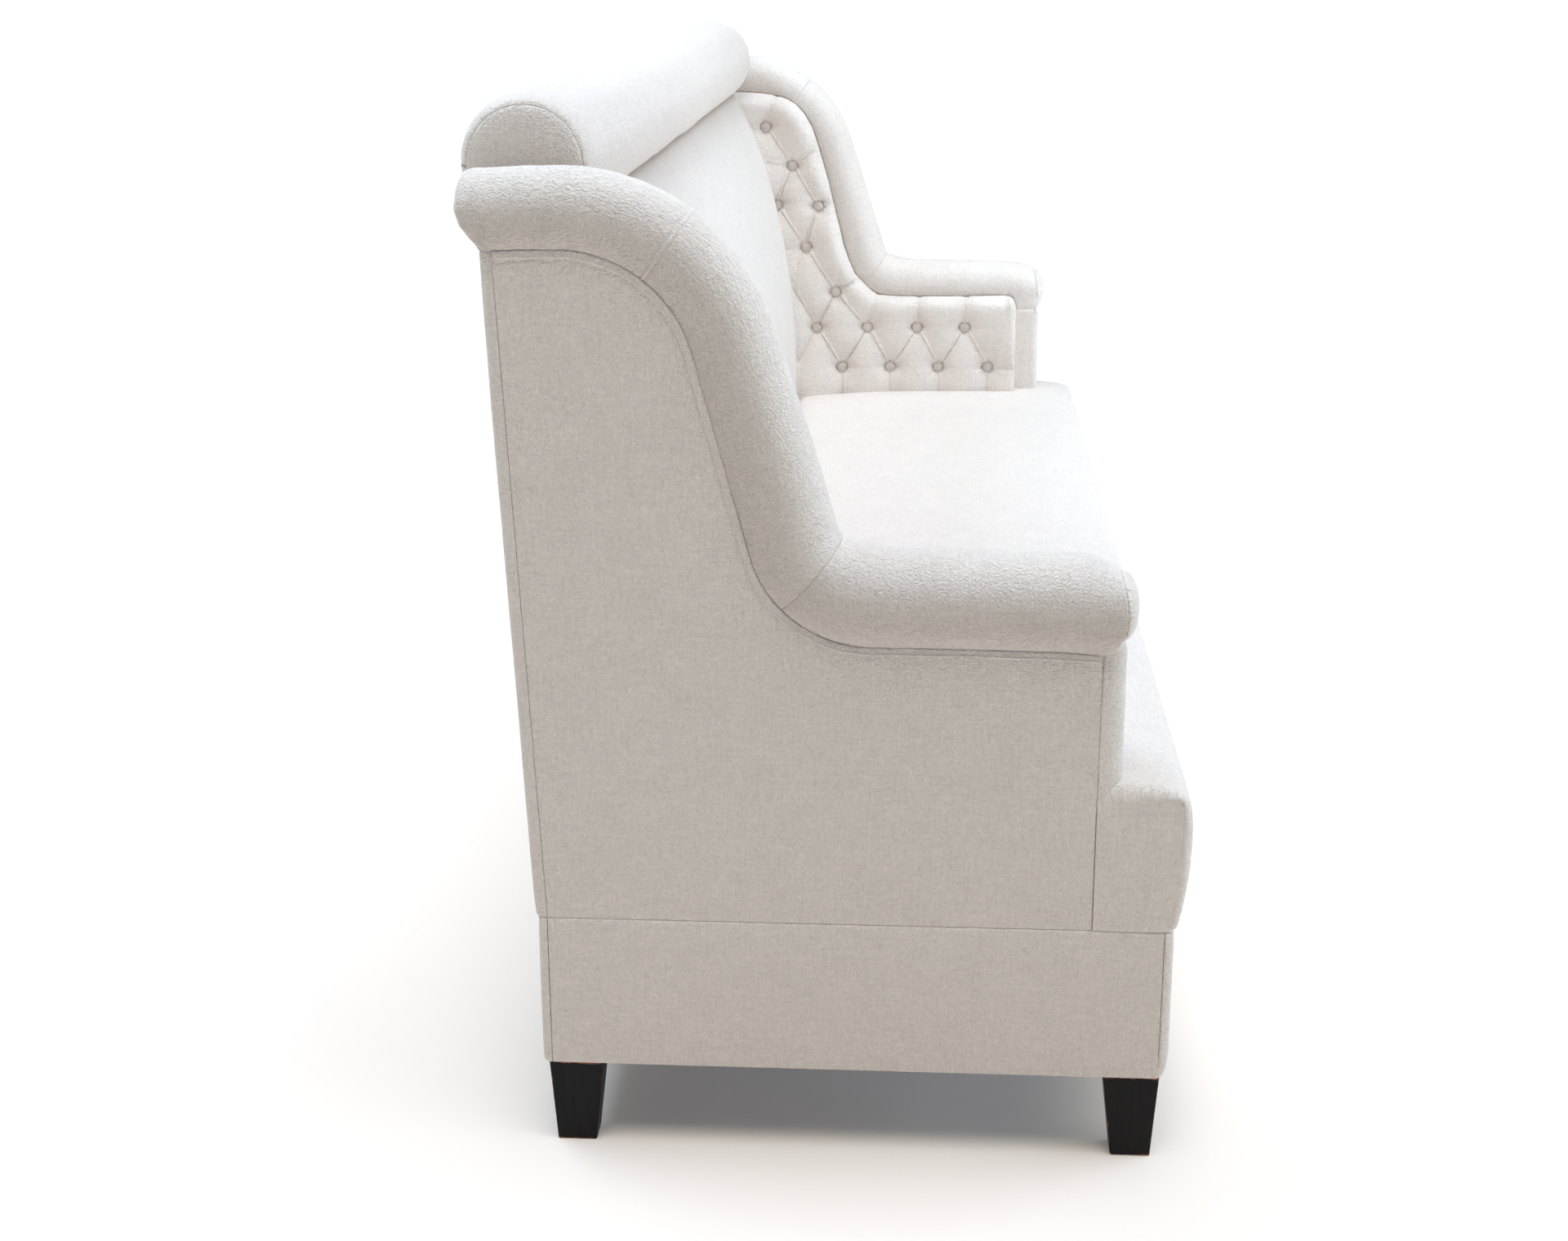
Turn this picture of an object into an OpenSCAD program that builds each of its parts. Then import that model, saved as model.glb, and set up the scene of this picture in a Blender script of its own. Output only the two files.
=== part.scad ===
// High back settee: tall wings that sweep down into rolled arms, a tight seat
// that wraps round the arm fronts, a plain crowned inside back, a round bolster
// along the top, button tufted inner arms and short tapered block legs.
// +X runs along the width, the front faces -Y, +Z is up, the floor is z = 0.
// "left" is the -X end.

/* [Overall] */
// Width between the flat outer side panels
body_w = 2400; // [1700:50:2800]
// Height of the underside of the base above the floor
leg_h = 108; // [96:2:120]
// Depth of the base from its front face to its back face
base_d = 742; // [742:2:760]

/* [Legs] */
// Leg width across the front at its top
leg_top_x = 48; // [44:1:50]
// Leg depth front to back at its top
leg_top_y = 66; // [60:1:70]
// Leg width across the front at its foot
leg_foot_x = 37; // [32:1:42]
// Leg depth front to back at its foot
leg_foot_y = 47; // [40:1:54]
// Radius of the hanger bolt that holds each leg
leg_bolt_r = 4; // [3:0.5:5]
// Radius of the glide under each leg
glide_r = 12; // [10:1:14]

/* [Arms and wings] */
// Height of the seam under the arm roll
arm_seam_z = 638; // [620:2:650]
// Height of the seam under the wing roll
wing_seam_z = 1079; // [1070:1:1082]
// Slope of the wing's front edge from the horizontal
slant = 75; // [72:0.5:78]
// Radius of the wing's shoulder, on the seam
shoulder_r = 150; // [140:5:160]
// Radius of the hollow where wing meets arm, on the seam
hollow_r = 140; // [130:5:150]
// Radius of the arm roll
arm_roll_r = 60.5; // [60:0.5:61]
// Radius of the wing roll
wing_roll_r = 54; // [52:1:56]
// Distance of the roll's centre line in from the outer side panel
roll_in = 42; // [40:0.5:42]

/* [Bolster] */
// Radius of the bolster
bolster_r = 78; // [74:1:78]
// Radius of the round panel in each end of the bolster
bolster_end_r = 66; // [60:1:68]

/* [Tufting] */
// Radius of a covered button
button_r = 11; // [9:0.5:12]
// Depth of the pocket that a button sits in
pocket_d = 18; // [14:1:20]

/* [Hidden] */
$fn = 48;
W2 = body_w/2;
base_top = 298;               // top of the base band, where the body starts
y_front = -402;               // front face of the base
y_back = y_front + base_d;    // back face of the base
band_t = 8;                   // padded fabric band on the side rails
band_ty = 10;                 // the same on the front and back rails
rail_t = 24;                  // hardwood rails of the base
panel_t = 8;                  // outer side panels
board_t = 18;                 // plywood side boards
post_w = 50;                  // arm and back posts, across the width
pad_in = 122;                 // inner face of a tufted pad, in from the outer panel
roll_inner = 102;             // innermost reach of a roll, in from the outer panel
front_seam_y = -307;          // upright seam at the front of the side panels
face_y = -336;                // front of the padded post facings
back_seam_y = 328;            // upright seam at the back of the side panels, at base_top
rake = 2.43;                  // backward lean of the outside back
bolster_y = 341;
bolster_z = 1158;
cover_t = 4;                  // fabric and wadding over a foam pad
wing_end_y = 390;             // back end of the wing roll
arm_end_y = -329;             // front end of the arm roll
sewn = 0.02;                  // the roll's straight length is sewn on between its two bends

linen = [0.90, 0.87, 0.83];
linen_shade = [0.84, 0.80, 0.75];
hardwood = [0.72, 0.56, 0.38];
ply = [0.80, 0.68, 0.50];
foam_c = [0.93, 0.86, 0.60];
black_wood = [0.07, 0.06, 0.06];
steel = [0.62, 0.62, 0.64];

// ---- helpers ----
function arc(cx, cy, r, a0, a1, n) = [for (i = [0:n]) let (a = a0 + (a1 - a0)*i/n)
    [cx + r*cos(a), cy + r*sin(a)]];
function unit(v) = v/norm(v);
// Moves every edge of a counter-clockwise outline inwards by d
function shrink(p, d) = [for (k = [0:len(p) - 1])
    let (a = p[(k + len(p) - 1) % len(p)], b = p[k], c = p[(k + 1) % len(p)],
         u = unit(b - a), v = unit(c - b),
         na = [-u[1], u[0]], nb = [-v[1], v[0]], m = unit(na + nb))
    b + m*d/(m*na)];
// An outline drawn in y and z, run along x
module along_x(x0, x1) translate([x0, 0, 0]) rotate([90, 0, 90]) linear_extrude(x1 - x0) children();
// An outline drawn in x and z, run along y
module along_y(y0, y1) translate([0, y1, 0]) rotate([90, 0, 0]) linear_extrude(y1 - y0) children();
// The left end as drawn, or mirrored to the right
module side(s) if (s < 0) children(); else mirror([1, 0, 0]) children();
// Leans with the outside back; local y = 0 is the face between posts and panel
module raked() translate([0, back_seam_y + 1, base_top]) rotate([-rake, 0, 0]) children();

// ---- the side outline: top line, shoulder, slanted edge, hollow, arm ----
// n is the distance outside the roll seam
sh_y = 291.5;
sh_z = wing_seam_z - shoulder_r;
se_y = sh_y - shoulder_r*sin(slant);
se_z = sh_z + shoulder_r*cos(slant);
ho_z = arm_seam_z + hollow_r;
he_z = ho_z - hollow_r*cos(slant);
he_y = se_y - (se_z - he_z)/tan(slant);
ho_y = he_y - hollow_r*sin(slant);
slant_len = (se_z - he_z)/sin(slant);
function back_y(z) = back_seam_y + (z - base_top)*tan(rake);
// from the back of the top line round to the front of the arm
function edge_line(n, yf) = concat(
    [[back_y(wing_seam_z), wing_seam_z + n]],
    [for (t = [0:7.5:slant]) [sh_y - (shoulder_r + n)*sin(t), sh_z + (shoulder_r + n)*cos(t)]],
    [for (t = [slant:-7.5:0]) [ho_y + (hollow_r - n)*sin(t), ho_z - (hollow_r - n)*cos(t)]],
    [[yf, arm_seam_z + n]]);
function side_outline(n, yf, z0) = concat(edge_line(n, yf), [[yf, z0], [back_y(z0), z0]]);

// ---- legs ----
function leg_x(s) = s*(W2 - 4 - leg_top_x/2);
leg_fy = y_front + 8.5 + leg_top_y/2;
leg_by = y_back - 6.5 - leg_top_y/2;
bolt_x = W2 - 37;
bolt_fy = -358;
bolt_by = 296;
module leg_at(x, y, bx, by) {
    color(black_wood) difference() {
        intersection() {
            translate([x, y + leg_top_y/2, 0]) rotate([90, 0, 0]) linear_extrude(leg_top_y)
                polygon([[-leg_foot_x/2, 2.5], [leg_foot_x/2, 2.5], [leg_top_x/2, leg_h], [-leg_top_x/2, leg_h]]);
            translate([x - leg_top_x/2, y, 0]) rotate([90, 0, 90]) linear_extrude(leg_top_x)
                polygon([[-leg_foot_y/2, 2.5], [leg_foot_y/2, 2.5], [leg_top_y/2, leg_h], [-leg_top_y/2, leg_h]]);
        }
        translate([bx, by, 50]) cylinder(r = leg_bolt_r, h = 70);
    }
}
module leg_front(s) leg_at(leg_x(s), leg_fy, s*bolt_x, bolt_fy);
module leg_back(s) leg_at(leg_x(s), leg_by, s*bolt_x, bolt_by);
module leg_glides() color("dimgray") for (x = [leg_x(-1), 0, leg_x(1)], y = [leg_fy, leg_by])
    translate([x, y, 0]) cylinder(r = glide_r, h = 2.5);
module bolts(r, z0, z1) for (x = [-bolt_x, 0, bolt_x], y = [bolt_fy, bolt_by])
    translate([x, y, z0]) cylinder(r = r, h = z1 - z0);
module leg_bolts() color(steel) bolts(leg_bolt_r, 50, 146);

// ---- base frame ----
rx1 = W2 - band_t;           // outer face of the side rails
rx0 = rx1 - rail_t;
ry0 = y_front + band_ty;     // outer face of the front rail
ry1 = y_back - band_ty;      // outer face of the back rail
module base_rail_front() color(hardwood) translate([-rx1, ry0, leg_h]) cube([2*rx1, rail_t, base_top - leg_h]);
module base_rail_back() color(hardwood) translate([-rx1, ry1 - rail_t, leg_h]) cube([2*rx1, rail_t, base_top - leg_h]);
module base_rail_side(s) color(hardwood) side(s)
    translate([-rx1, ry0 + rail_t, leg_h]) cube([rail_t, ry1 - ry0 - 2*rail_t, base_top - leg_h]);
module base_stretchers() color(hardwood) for (x = [-W2/2, 0, W2/2])
    translate([x - 15, ry0 + rail_t, 170]) cube([30, ry1 - ry0 - 2*rail_t, base_top - 170]);
module corner_blocks() color(hardwood) difference() {
    union() {
        for (s = [-1, 1]) side(s) {
            translate([0, 0, leg_h]) linear_extrude(60)
                polygon([[-rx0, ry0 + rail_t], [-rx0 + 100, ry0 + rail_t], [-rx0, ry0 + rail_t + 100]]);
            translate([0, 0, leg_h]) linear_extrude(60)
                polygon([[-rx0, ry1 - rail_t], [-rx0, ry1 - rail_t - 100], [-rx0 + 100, ry1 - rail_t]]);
        }
        translate([-50, ry0 + rail_t, leg_h]) cube([100, 70, 60]);
        translate([-50, ry1 - rail_t - 70, leg_h]) cube([100, 70, 60]);
    }
    bolts(leg_bolt_r, leg_h - 5, 146);
}

// ---- fabric band round the base, its corners rounded ----
module end_band() {
    translate([-W2 + 11, 0]) square([2*W2 - 22, band_ty]);
    for (s = [-1, 1]) intersection() {
        translate([s*(W2 - 11), 11]) circle(r = 11);
        translate([-W2, 0]) square([2*W2, band_ty]);
    }
}
module base_band_front() color(linen_shade) translate([0, y_front, leg_h]) linear_extrude(base_top - leg_h) end_band();
module base_band_back() color(linen_shade) translate([0, y_back, leg_h]) mirror([0, 1, 0])
    linear_extrude(base_top - leg_h) end_band();
module base_band_side(s) color(linen_shade) side(s)
    translate([-W2, ry0 + 1, leg_h]) cube([band_t, ry1 - ry0 - 2, base_top - leg_h]);
module dust_cover() color([0.18, 0.18, 0.19]) difference() {
    translate([-rx1 + 4, ry0 + 4, leg_h - 1.5]) cube([2*rx1 - 8, ry1 - ry0 - 8, 1.5]);
    for (x = [leg_x(-1), 0, leg_x(1)], y = [leg_fy, leg_by])
        translate([x - leg_top_x/2 - 1, y - leg_top_y/2 - 1, leg_h - 5]) cube([leg_top_x + 2, leg_top_y + 2, 10]);
}

// ---- seat ----
seat_back_y = 167;
seat_profile = concat(
    [[seat_back_y, base_top], [seat_back_y, 458], [120, 467], [0, 475], [-150, 478], [-260, 478], [-350, 475]],
    arc(-378, 434, 40, 72, 168, 8),
    [[-419, 415], [-418.5, 385], [-416, 350], [-412, 320], [-407, base_top]]);
seat_view_half = [[W2, base_top], [W2, 430], [W2 - 2, 441], [W2 - 9, 450], [W2 - 21, 455], [W2 - 45, 458],
    [W2 - 100, 459], [W2 - 118, 462], [W2 - 150, 471], [W2 - 210, 477], [W2 - 260, 479]];
seat_view = concat(seat_view_half, [for (k = [len(seat_view_half) - 1:-1:0]) [-seat_view_half[k][0], seat_view_half[k][1]]]);
seat_plan_half = concat([[W2 - pad_in, seat_back_y + 20], [W2 - pad_in, front_seam_y], [W2, front_seam_y], [W2, -404]],
    [[W2 - 3, -412], [W2 - 10, -417], [W2 - 24, -419], [W2 - 26, -440]]);
seat_plan = concat([for (p = seat_plan_half) [-p[0], p[1]]],
    [for (k = [len(seat_plan_half) - 1:-1:0]) seat_plan_half[k]]);
module seat_form(i, dz) translate([0, 0, dz]) intersection() {
    along_x(-W2, W2) polygon(shrink([for (k = [len(seat_profile) - 1:-1:0]) seat_profile[len(seat_profile) - 1 - k]], i));
    along_y(-430, seat_back_y + 10) polygon(shrink(seat_view, i));
    translate([0, 0, 200]) linear_extrude(400) polygon(shrink(seat_plan, i));
}
module seat_webbing() color([0.35, 0.35, 0.38]) for (k = [-8:8])
    translate([k*(W2 - 190)/8 - 27, ry0, base_top]) cube([54, ry1 - rail_t + 14 - ry0 - 20, 2]);
module seat_foam() color(foam_c) seat_form(cover_t, 0);
module seat_cover() color(linen) difference() {
    seat_form(0, 0);
    seat_form(cover_t, 0);
    seat_form(cover_t, -cover_t - 2);
}

// ---- back ----
post_x = [W2 - panel_t - board_t - post_w, 340];
back_h = (wing_seam_z - base_top)/cos(rake) - 1;
module back_posts() color(hardwood) raked() for (s = [-1, 1], x = post_x)
    translate([s > 0 ? x : -x - post_w, -45, 0.5]) cube([post_w, 45, back_h - 70.5 + (x > 500 ? 70 : 0)]);
module back_top_rail() color(hardwood) difference() {
    raked() translate([-post_x[0], -45, back_h - 70]) cube([2*post_x[0], 45, 70]);
    bolster_bolt_set(bolster_bolt_r);
}
module back_cross_rails() color(hardwood) raked()
    for (z = [2, 300]) for (seg = [[-post_x[0], -post_x[1] - post_w], [-post_x[1], post_x[1]], [post_x[1] + post_w, post_x[0]]])
        translate([seg[0], -45, z]) cube([seg[1] - seg[0], 45, 60]);
module back_webbing() color([0.35, 0.35, 0.38]) raked() for (k = [-8:8])
    translate([k*(W2 - 190)/8 - 27, -47.5, 4]) cube([54, 2, back_h - 14]);
back_profile = [[281, 302], [313, 1077], [300, 1077], [280, 1060], [258, 1015], [234, 950], [212, 871],
    [192, 776], [179, 692], [171, 590], [168, 470], [172, 302]];
back_profile_ccw = [for (k = [0:len(back_profile) - 1]) back_profile[k]];
module back_form(i, dy) translate([0, dy, 0])
    along_x(-W2 + pad_in + i, W2 - pad_in - i) polygon(shrink(back_profile_ccw, i));
module back_foam() color(foam_c) back_form(cover_t, 0);
module back_cover() color(linen) difference() {
    back_form(0, 0);
    back_form(cover_t, 0);
    back_form(cover_t, cover_t + 2);
}
module outside_back() color(linen_shade) raked() translate([0, 0, 0.5]) linear_extrude(back_h - 1) {
    translate([-W2 + 12, 0]) square([2*W2 - 24, 14]);
    for (s = [-1, 1]) intersection() {
        translate([s*(W2 - 12), 2]) circle(r = 12);
        translate([-W2, 0]) square([2*W2, 14]);
    }
}

// ---- sides ----
module side_panel(s) color(linen_shade) side(s)
    along_x(-W2, -W2 + panel_t) polygon(side_outline(0, front_seam_y, base_top));
module side_board(s) color(ply) side(s)
    along_x(-W2 + panel_t, -W2 + panel_t + board_t) polygon(side_outline(0, front_seam_y, base_top));
module arm_post(s) color(hardwood) side(s)
    translate([-W2 + panel_t + board_t, front_seam_y, base_top]) cube([post_w, 45, arm_seam_z - base_top]);
module post_facing(s) color(linen) side(s) {
    translate([0, 0, 460]) linear_extrude(arm_seam_z - 460) {
        translate([-W2 + 27, face_y]) square([104 - 27 - 12, 29]);
        translate([-W2 + 92 - 1, face_y + 12]) square([13, 17]);
        intersection() {
            translate([-W2 + 92, face_y + 12]) circle(r = 12);
            translate([-W2 + 91, face_y]) square([13, 13]);
        }
        intersection() {
            translate([-W2 + 28, face_y + 28]) circle(r = 28);
            translate([-W2, face_y]) square([28, 29]);
        }
    }
    translate([-W2 + 100, front_seam_y - 1, 460]) cube([4, 18, arm_seam_z - 460]);
}
module welt(s) color(linen_shade) side(s) along_x(-W2 - 1.5, -W2) intersection() {
    polygon(concat(edge_line(-1.5, front_seam_y + 1), [for (k = [len(edge_line(0, 0)) - 1:-1:0]) edge_line(-10.5, front_seam_y + 1)[k]]));
    translate([front_seam_y, 300]) square([back_y(wing_seam_z) - 4 - front_seam_y, 900]);
}

// ---- rolls: a round section, flat where it sits on the side ----
// section drawn with x as the distance n above the seam and y as the place across the width
module roll_section(r) {
    a = sqrt(r*r - roll_in*roll_in);
    difference() {
        intersection() {
            translate([a, -W2 + roll_in]) circle(r = r);
            translate([0, -W2 - 100]) square([250, 300]);
        }
        translate([-5, -W2 + panel_t]) square([25, board_t + post_w]);
    }
}
module run_y(y0, y1, z) translate([0, y0, z]) rotate([0, -90, -90]) linear_extrude(y1 - y0) children();
module shoulder_arc() translate([0, sh_y, sh_z]) rotate([90, 0, 90]) rotate([0, 0, 90])
    rotate_extrude(angle = slant, $fn = 96) translate([shoulder_r, 0]) children();
module hollow_arc(t0, t1) translate([0, ho_y, ho_z]) rotate([90, 0, 90]) rotate([0, 0, t0 - 90])
    rotate_extrude(angle = t1 - t0, $fn = 96) translate([hollow_r, 0]) mirror([1, 0]) children();
module slant_run() translate([0, se_y, se_z]) rotate([slant, 0, 0])
    translate([0, -slant_len + sewn, 0]) rotate([0, -90, -90]) linear_extrude(slant_len - 2*sewn) children();
module wing_run() {
    run_y(sh_y, wing_end_y, wing_seam_z) children();
    shoulder_arc() children();
    slant_run() children();
    hollow_arc(slant/2, slant) children();
}
module arm_run() {
    hollow_arc(0, slant/2) children();
    run_y(arm_end_y, ho_y, arm_seam_z) children();
}
module wing_roll(s) color(linen) side(s) wing_run() roll_section(wing_roll_r);
module arm_roll(s) color(linen) side(s) arm_run() roll_section(arm_roll_r);
module roll_strip(s) color(hardwood) side(s)
    along_x(-W2 + panel_t + 0.3, -W2 + panel_t + board_t + post_w - 0.3)
        polygon(concat(edge_line(0.6, arm_end_y + 4), [for (k = [len(edge_line(0, 0)) - 1:-1:0]) edge_line(19.4, arm_end_y + 4)[k]]));
// domed cap closing a roll, its dome h deep, facing along -Y
module cap_form(r, h, seam_z) {
    a = sqrt(r*r - roll_in*roll_in);
    R = (r*r + h*h)/(2*h);
    intersection() {
        translate([-W2 + roll_in, 0, seam_z + a]) rotate([90, 0, 0]) rotate_extrude()
            intersection() {
                translate([0, h - R]) circle(r = R, $fn = 180);
                square([r, h]);
            }
        translate([-W2 - 50, -50, seam_z]) cube([250, 60, 400]);
    }
}
module arm_cap(s) color(linen) side(s) translate([0, arm_end_y, 0]) cap_form(arm_roll_r, 18, arm_seam_z);
module wing_cap(s) color(linen) side(s) translate([0, wing_end_y, 0]) mirror([0, 1, 0]) cap_form(wing_roll_r, 12, wing_seam_z);

// ---- tufted inner pads ----
button_at = [[-232, 524], [-128, 524], [-26, 524], [76, 523],
    [-182, 608], [-82, 608], [23, 608], [130, 606],
    [90, 682], [153, 776], [127, 861], [181, 944], [236, 1022]];
// the pad's outline: the side's own edge, cut off behind the inside back and under the bolster
module pad_outline(n, i) intersection() {
    polygon(shrink(side_outline(n, -288, base_top + 2), i));
    translate([-400, 200]) square([282 - i + 400, 1076 - i - 200]);
}
module pad_form(i, dx) {
    along_x(-W2 + 76 - dx, -W2 + roll_inner + 1) pad_outline(-2, i);
    along_x(-W2 + roll_inner + 0.5, -W2 + pad_in - i) pad_outline(20, i);
}
module button_pockets(r) for (p = button_at)
    translate([-W2 + pad_in - pocket_d, p[0], p[1]]) rotate([0, 90, 0]) cylinder(r = r, h = pocket_d + 10);
module pad_foam(s) color(foam_c) side(s) difference() {
    pad_form(cover_t, 0);
    button_pockets(button_r + 3);
}
module pad_cover(s) color(linen) side(s) difference() {
    pad_form(0, 0);
    pad_form(cover_t, 8);
    button_pockets(button_r + 1);
}
module pad_buttons(s) color([0.74, 0.70, 0.66]) side(s) for (p = button_at)
    translate([-W2 + pad_in - pocket_d, p[0], p[1]]) rotate([0, 90, 0]) rotate_extrude(angle = 360, $fn = 32)
        intersection() {
            translate([0, 8 - 22]) circle(r = 22, $fn = 96);
            square([button_r, 8]);
        }

// ---- bolster ----
be_x = W2 - 110;             // end panels of the bolster
bolster_bolt_r = 4;
core_r = 25;
module bolster_bolt_set(r) for (x = [-900, -450, 0, 450, 900])
    translate([x*W2/1200, bolster_y, 1030]) cylinder(r = r, h = bolster_z - 1030);
module bolster_outline(i) {
    // half section: x is the radius, y runs along the bolster
    for (k = [0:0]) polygon(concat([[0, -be_x + i]],
        [for (t = [0:10:90]) [bolster_end_r - i + (bolster_r - bolster_end_r)*sin(t), -be_x + i + 45*(1 - cos(t))]],
        [for (t = [90:-10:0]) [bolster_end_r - i + (bolster_r - bolster_end_r)*sin(t), be_x - i - 45*(1 - cos(t))]],
        [[0, be_x - i]]));
}
module bolster_solid(i) translate([0, bolster_y, bolster_z]) rotate([0, 90, 0]) rotate_extrude($fn = 96) bolster_outline(i);
module on_bolster_axis() translate([0, bolster_y, bolster_z]) rotate([0, 90, 0]) children();
module bolster_core() color(hardwood) difference() {
    on_bolster_axis() translate([0, 0, -be_x + 8]) cylinder(r = core_r, h = 2*be_x - 16);
    bolster_bolt_set(bolster_bolt_r);
}
module bolster_foam() color(foam_c) difference() {
    bolster_solid(cover_t);
    on_bolster_axis() translate([0, 0, -be_x - 10]) cylinder(r = core_r, h = 2*be_x + 20);
    bolster_bolt_set(bolster_bolt_r);
}
module bolster_cover() color(linen) difference() {
    bolster_solid(0);
    bolster_solid(cover_t);
    on_bolster_axis() translate([0, 0, -be_x - 10]) cylinder(r = bolster_end_r - cover_t, h = 2*be_x + 20);
    bolster_bolt_set(bolster_bolt_r);
}
module bolster_ends() color(linen_shade) for (s = [-1, 1]) on_bolster_axis()
    translate([0, 0, s < 0 ? -be_x : be_x - cover_t]) cylinder(r = bolster_end_r - cover_t, h = cover_t);
module bolster_bolts() color(steel) bolster_bolt_set(bolster_bolt_r);

// ---- the pieces ----
leg_front(-1);  // leg_front_left
leg_front(1);  // leg_front_right
leg_back(-1);  // leg_back_left
leg_back(1);  // leg_back_right
leg_at(0, leg_fy, 0, bolt_fy);  // leg_centre_front
leg_at(0, leg_by, 0, bolt_by);  // leg_centre_back
leg_glides();
leg_bolts();
base_rail_front();
base_rail_back();
base_rail_side(-1);  // base_rail_left
base_rail_side(1);  // base_rail_right
base_stretchers();
corner_blocks();
base_band_front();
base_band_back();
base_band_side(-1);  // base_band_left
base_band_side(1);  // base_band_right
dust_cover();
seat_webbing();
seat_foam();
seat_cover();
back_posts();
back_top_rail();
back_cross_rails();
back_webbing();
back_foam();
back_cover();
outside_back();
side_board(-1);  // side_board_left
side_board(1);  // side_board_right
arm_post(-1);  // arm_post_left
arm_post(1);  // arm_post_right
side_panel(-1);  // side_panel_left
side_panel(1);  // side_panel_right
post_facing(-1);  // post_facing_left
post_facing(1);  // post_facing_right
pad_foam(-1);  // pad_foam_left
pad_foam(1);  // pad_foam_right
pad_cover(-1);  // pad_cover_left
pad_cover(1);  // pad_cover_right
pad_buttons(-1);  // pad_buttons_left
pad_buttons(1);  // pad_buttons_right
wing_roll(-1);  // wing_roll_left
wing_roll(1);  // wing_roll_right
arm_roll(-1);  // arm_roll_left
arm_roll(1);  // arm_roll_right
arm_cap(-1);  // arm_cap_left
arm_cap(1);  // arm_cap_right
wing_cap(-1);  // wing_cap_left
wing_cap(1);  // wing_cap_right
roll_strip(-1);  // roll_strip_left
roll_strip(1);  // roll_strip_right
welt(-1);  // roll_welt_left
welt(1);  // roll_welt_right
bolster_core();
bolster_foam();
bolster_cover();
bolster_ends();
bolster_bolts();
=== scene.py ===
import math

import bmesh
import bpy
import numpy as np
from mathutils import Matrix, Vector


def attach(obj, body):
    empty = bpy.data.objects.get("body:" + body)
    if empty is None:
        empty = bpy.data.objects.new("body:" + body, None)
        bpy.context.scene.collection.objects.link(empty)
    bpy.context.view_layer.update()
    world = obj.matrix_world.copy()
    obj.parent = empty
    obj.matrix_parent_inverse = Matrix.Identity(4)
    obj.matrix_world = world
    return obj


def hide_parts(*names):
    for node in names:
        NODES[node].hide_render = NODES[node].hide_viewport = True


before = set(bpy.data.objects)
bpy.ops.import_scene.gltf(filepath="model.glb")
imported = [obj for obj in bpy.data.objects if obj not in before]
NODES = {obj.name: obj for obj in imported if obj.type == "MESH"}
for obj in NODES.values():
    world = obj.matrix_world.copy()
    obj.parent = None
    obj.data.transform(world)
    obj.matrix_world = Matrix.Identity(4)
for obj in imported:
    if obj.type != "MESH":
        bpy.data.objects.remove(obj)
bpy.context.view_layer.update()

scene = bpy.context.scene

# ---------------------------------------------------------------- camera
cam_data = bpy.data.cameras.new("camera")
cam = bpy.data.objects.new("camera", cam_data)
scene.collection.objects.link(cam)
fwd = Vector((0.95289, 0.06420, -0.29645)).normalized()
right = Vector((0.06587, -0.99782, -0.00438)).normalized()
up = right.cross(fwd).normalized()
right = fwd.cross(up).normalized()
cam.matrix_world = Matrix((
    (right.x, up.x, -fwd.x, -3.5431),
    (right.y, up.y, -fwd.y, -0.1098),
    (right.z, up.z, -fwd.z, 1.3972),
    (0, 0, 0, 1)))
cam_data.sensor_fit = "HORIZONTAL"
cam_data.sensor_width = 36.0
cam_data.lens = 50.556
cam_data.clip_start = 0.05
cam_data.clip_end = 900.0
scene.camera = cam

# ---------------------------------------------------------------- helpers (all lengths in mm)
rad = math.radians


def vnoise(p, seed=0):
    """Smooth value noise, -1..1, at the rows of p."""
    p = np.asarray(p, float)
    i = np.floor(p).astype(np.int64)
    f = p - i
    u = f * f * f * (f * (f * 6 - 15) + 10)

    def h(dx, dy, dz):
        n = ((i[:, 0] + dx) * 73856093) ^ ((i[:, 1] + dy) * 19349663) ^ ((i[:, 2] + dz) * 83492791) ^ (seed * 7919 + 1013)
        n = n & 0xFFFFFFFF
        n = ((n ^ (n >> 15)) * 2246822519) & 0xFFFFFFFF
        n = ((n ^ (n >> 13)) * 3266489917) & 0xFFFFFFFF
        n = n ^ (n >> 16)
        return (n & 0xFFFF) / 32767.5 - 1.0

    def mix(a, b, t):
        return a + (b - a) * t
    x00 = mix(h(0, 0, 0), h(1, 0, 0), u[:, 0])
    x10 = mix(h(0, 1, 0), h(1, 1, 0), u[:, 0])
    x01 = mix(h(0, 0, 1), h(1, 0, 1), u[:, 0])
    x11 = mix(h(0, 1, 1), h(1, 1, 1), u[:, 0])
    return mix(mix(x00, x10, u[:, 1]), mix(x01, x11, u[:, 1]), u[:, 2])


def wavy(p, size, seed=0, octaves=2):
    """Layered noise; size is the feature size in mm, a number or one per axis."""
    q = np.asarray(p, float).reshape(-1, 3) / np.asarray(size, float)
    out, amp, tot = 0.0, 1.0, 0.0
    for k in range(octaves):
        out = out + amp * vnoise(q * 2 ** k + 17.3 * k, seed + 31 * k)
        tot += amp
        amp *= 0.5
    return out / tot


def crinkle(p, size, seed=0):
    """Short wandering creases, about 0..1, high on the creases."""
    p = np.asarray(p, float).reshape(-1, 3)
    w = np.stack([wavy(p, size * 2.2, seed + 5), wavy(p, size * 2.2, seed + 6), wavy(p, size * 2.2, seed + 7)], 1)
    n = vnoise((p + w * size * 0.9) / size, seed)
    m = vnoise((p + w * size * 0.6) / (size * 0.55) + 9.1, seed + 1)
    return (1 - np.abs(n) * 1.6) * 0.65 + (1 - np.abs(m) * 1.6) * 0.35


def smooth01(x):
    x = np.clip(x, 0.0, 1.0)
    return x * x * (3 - 2 * x)


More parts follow.
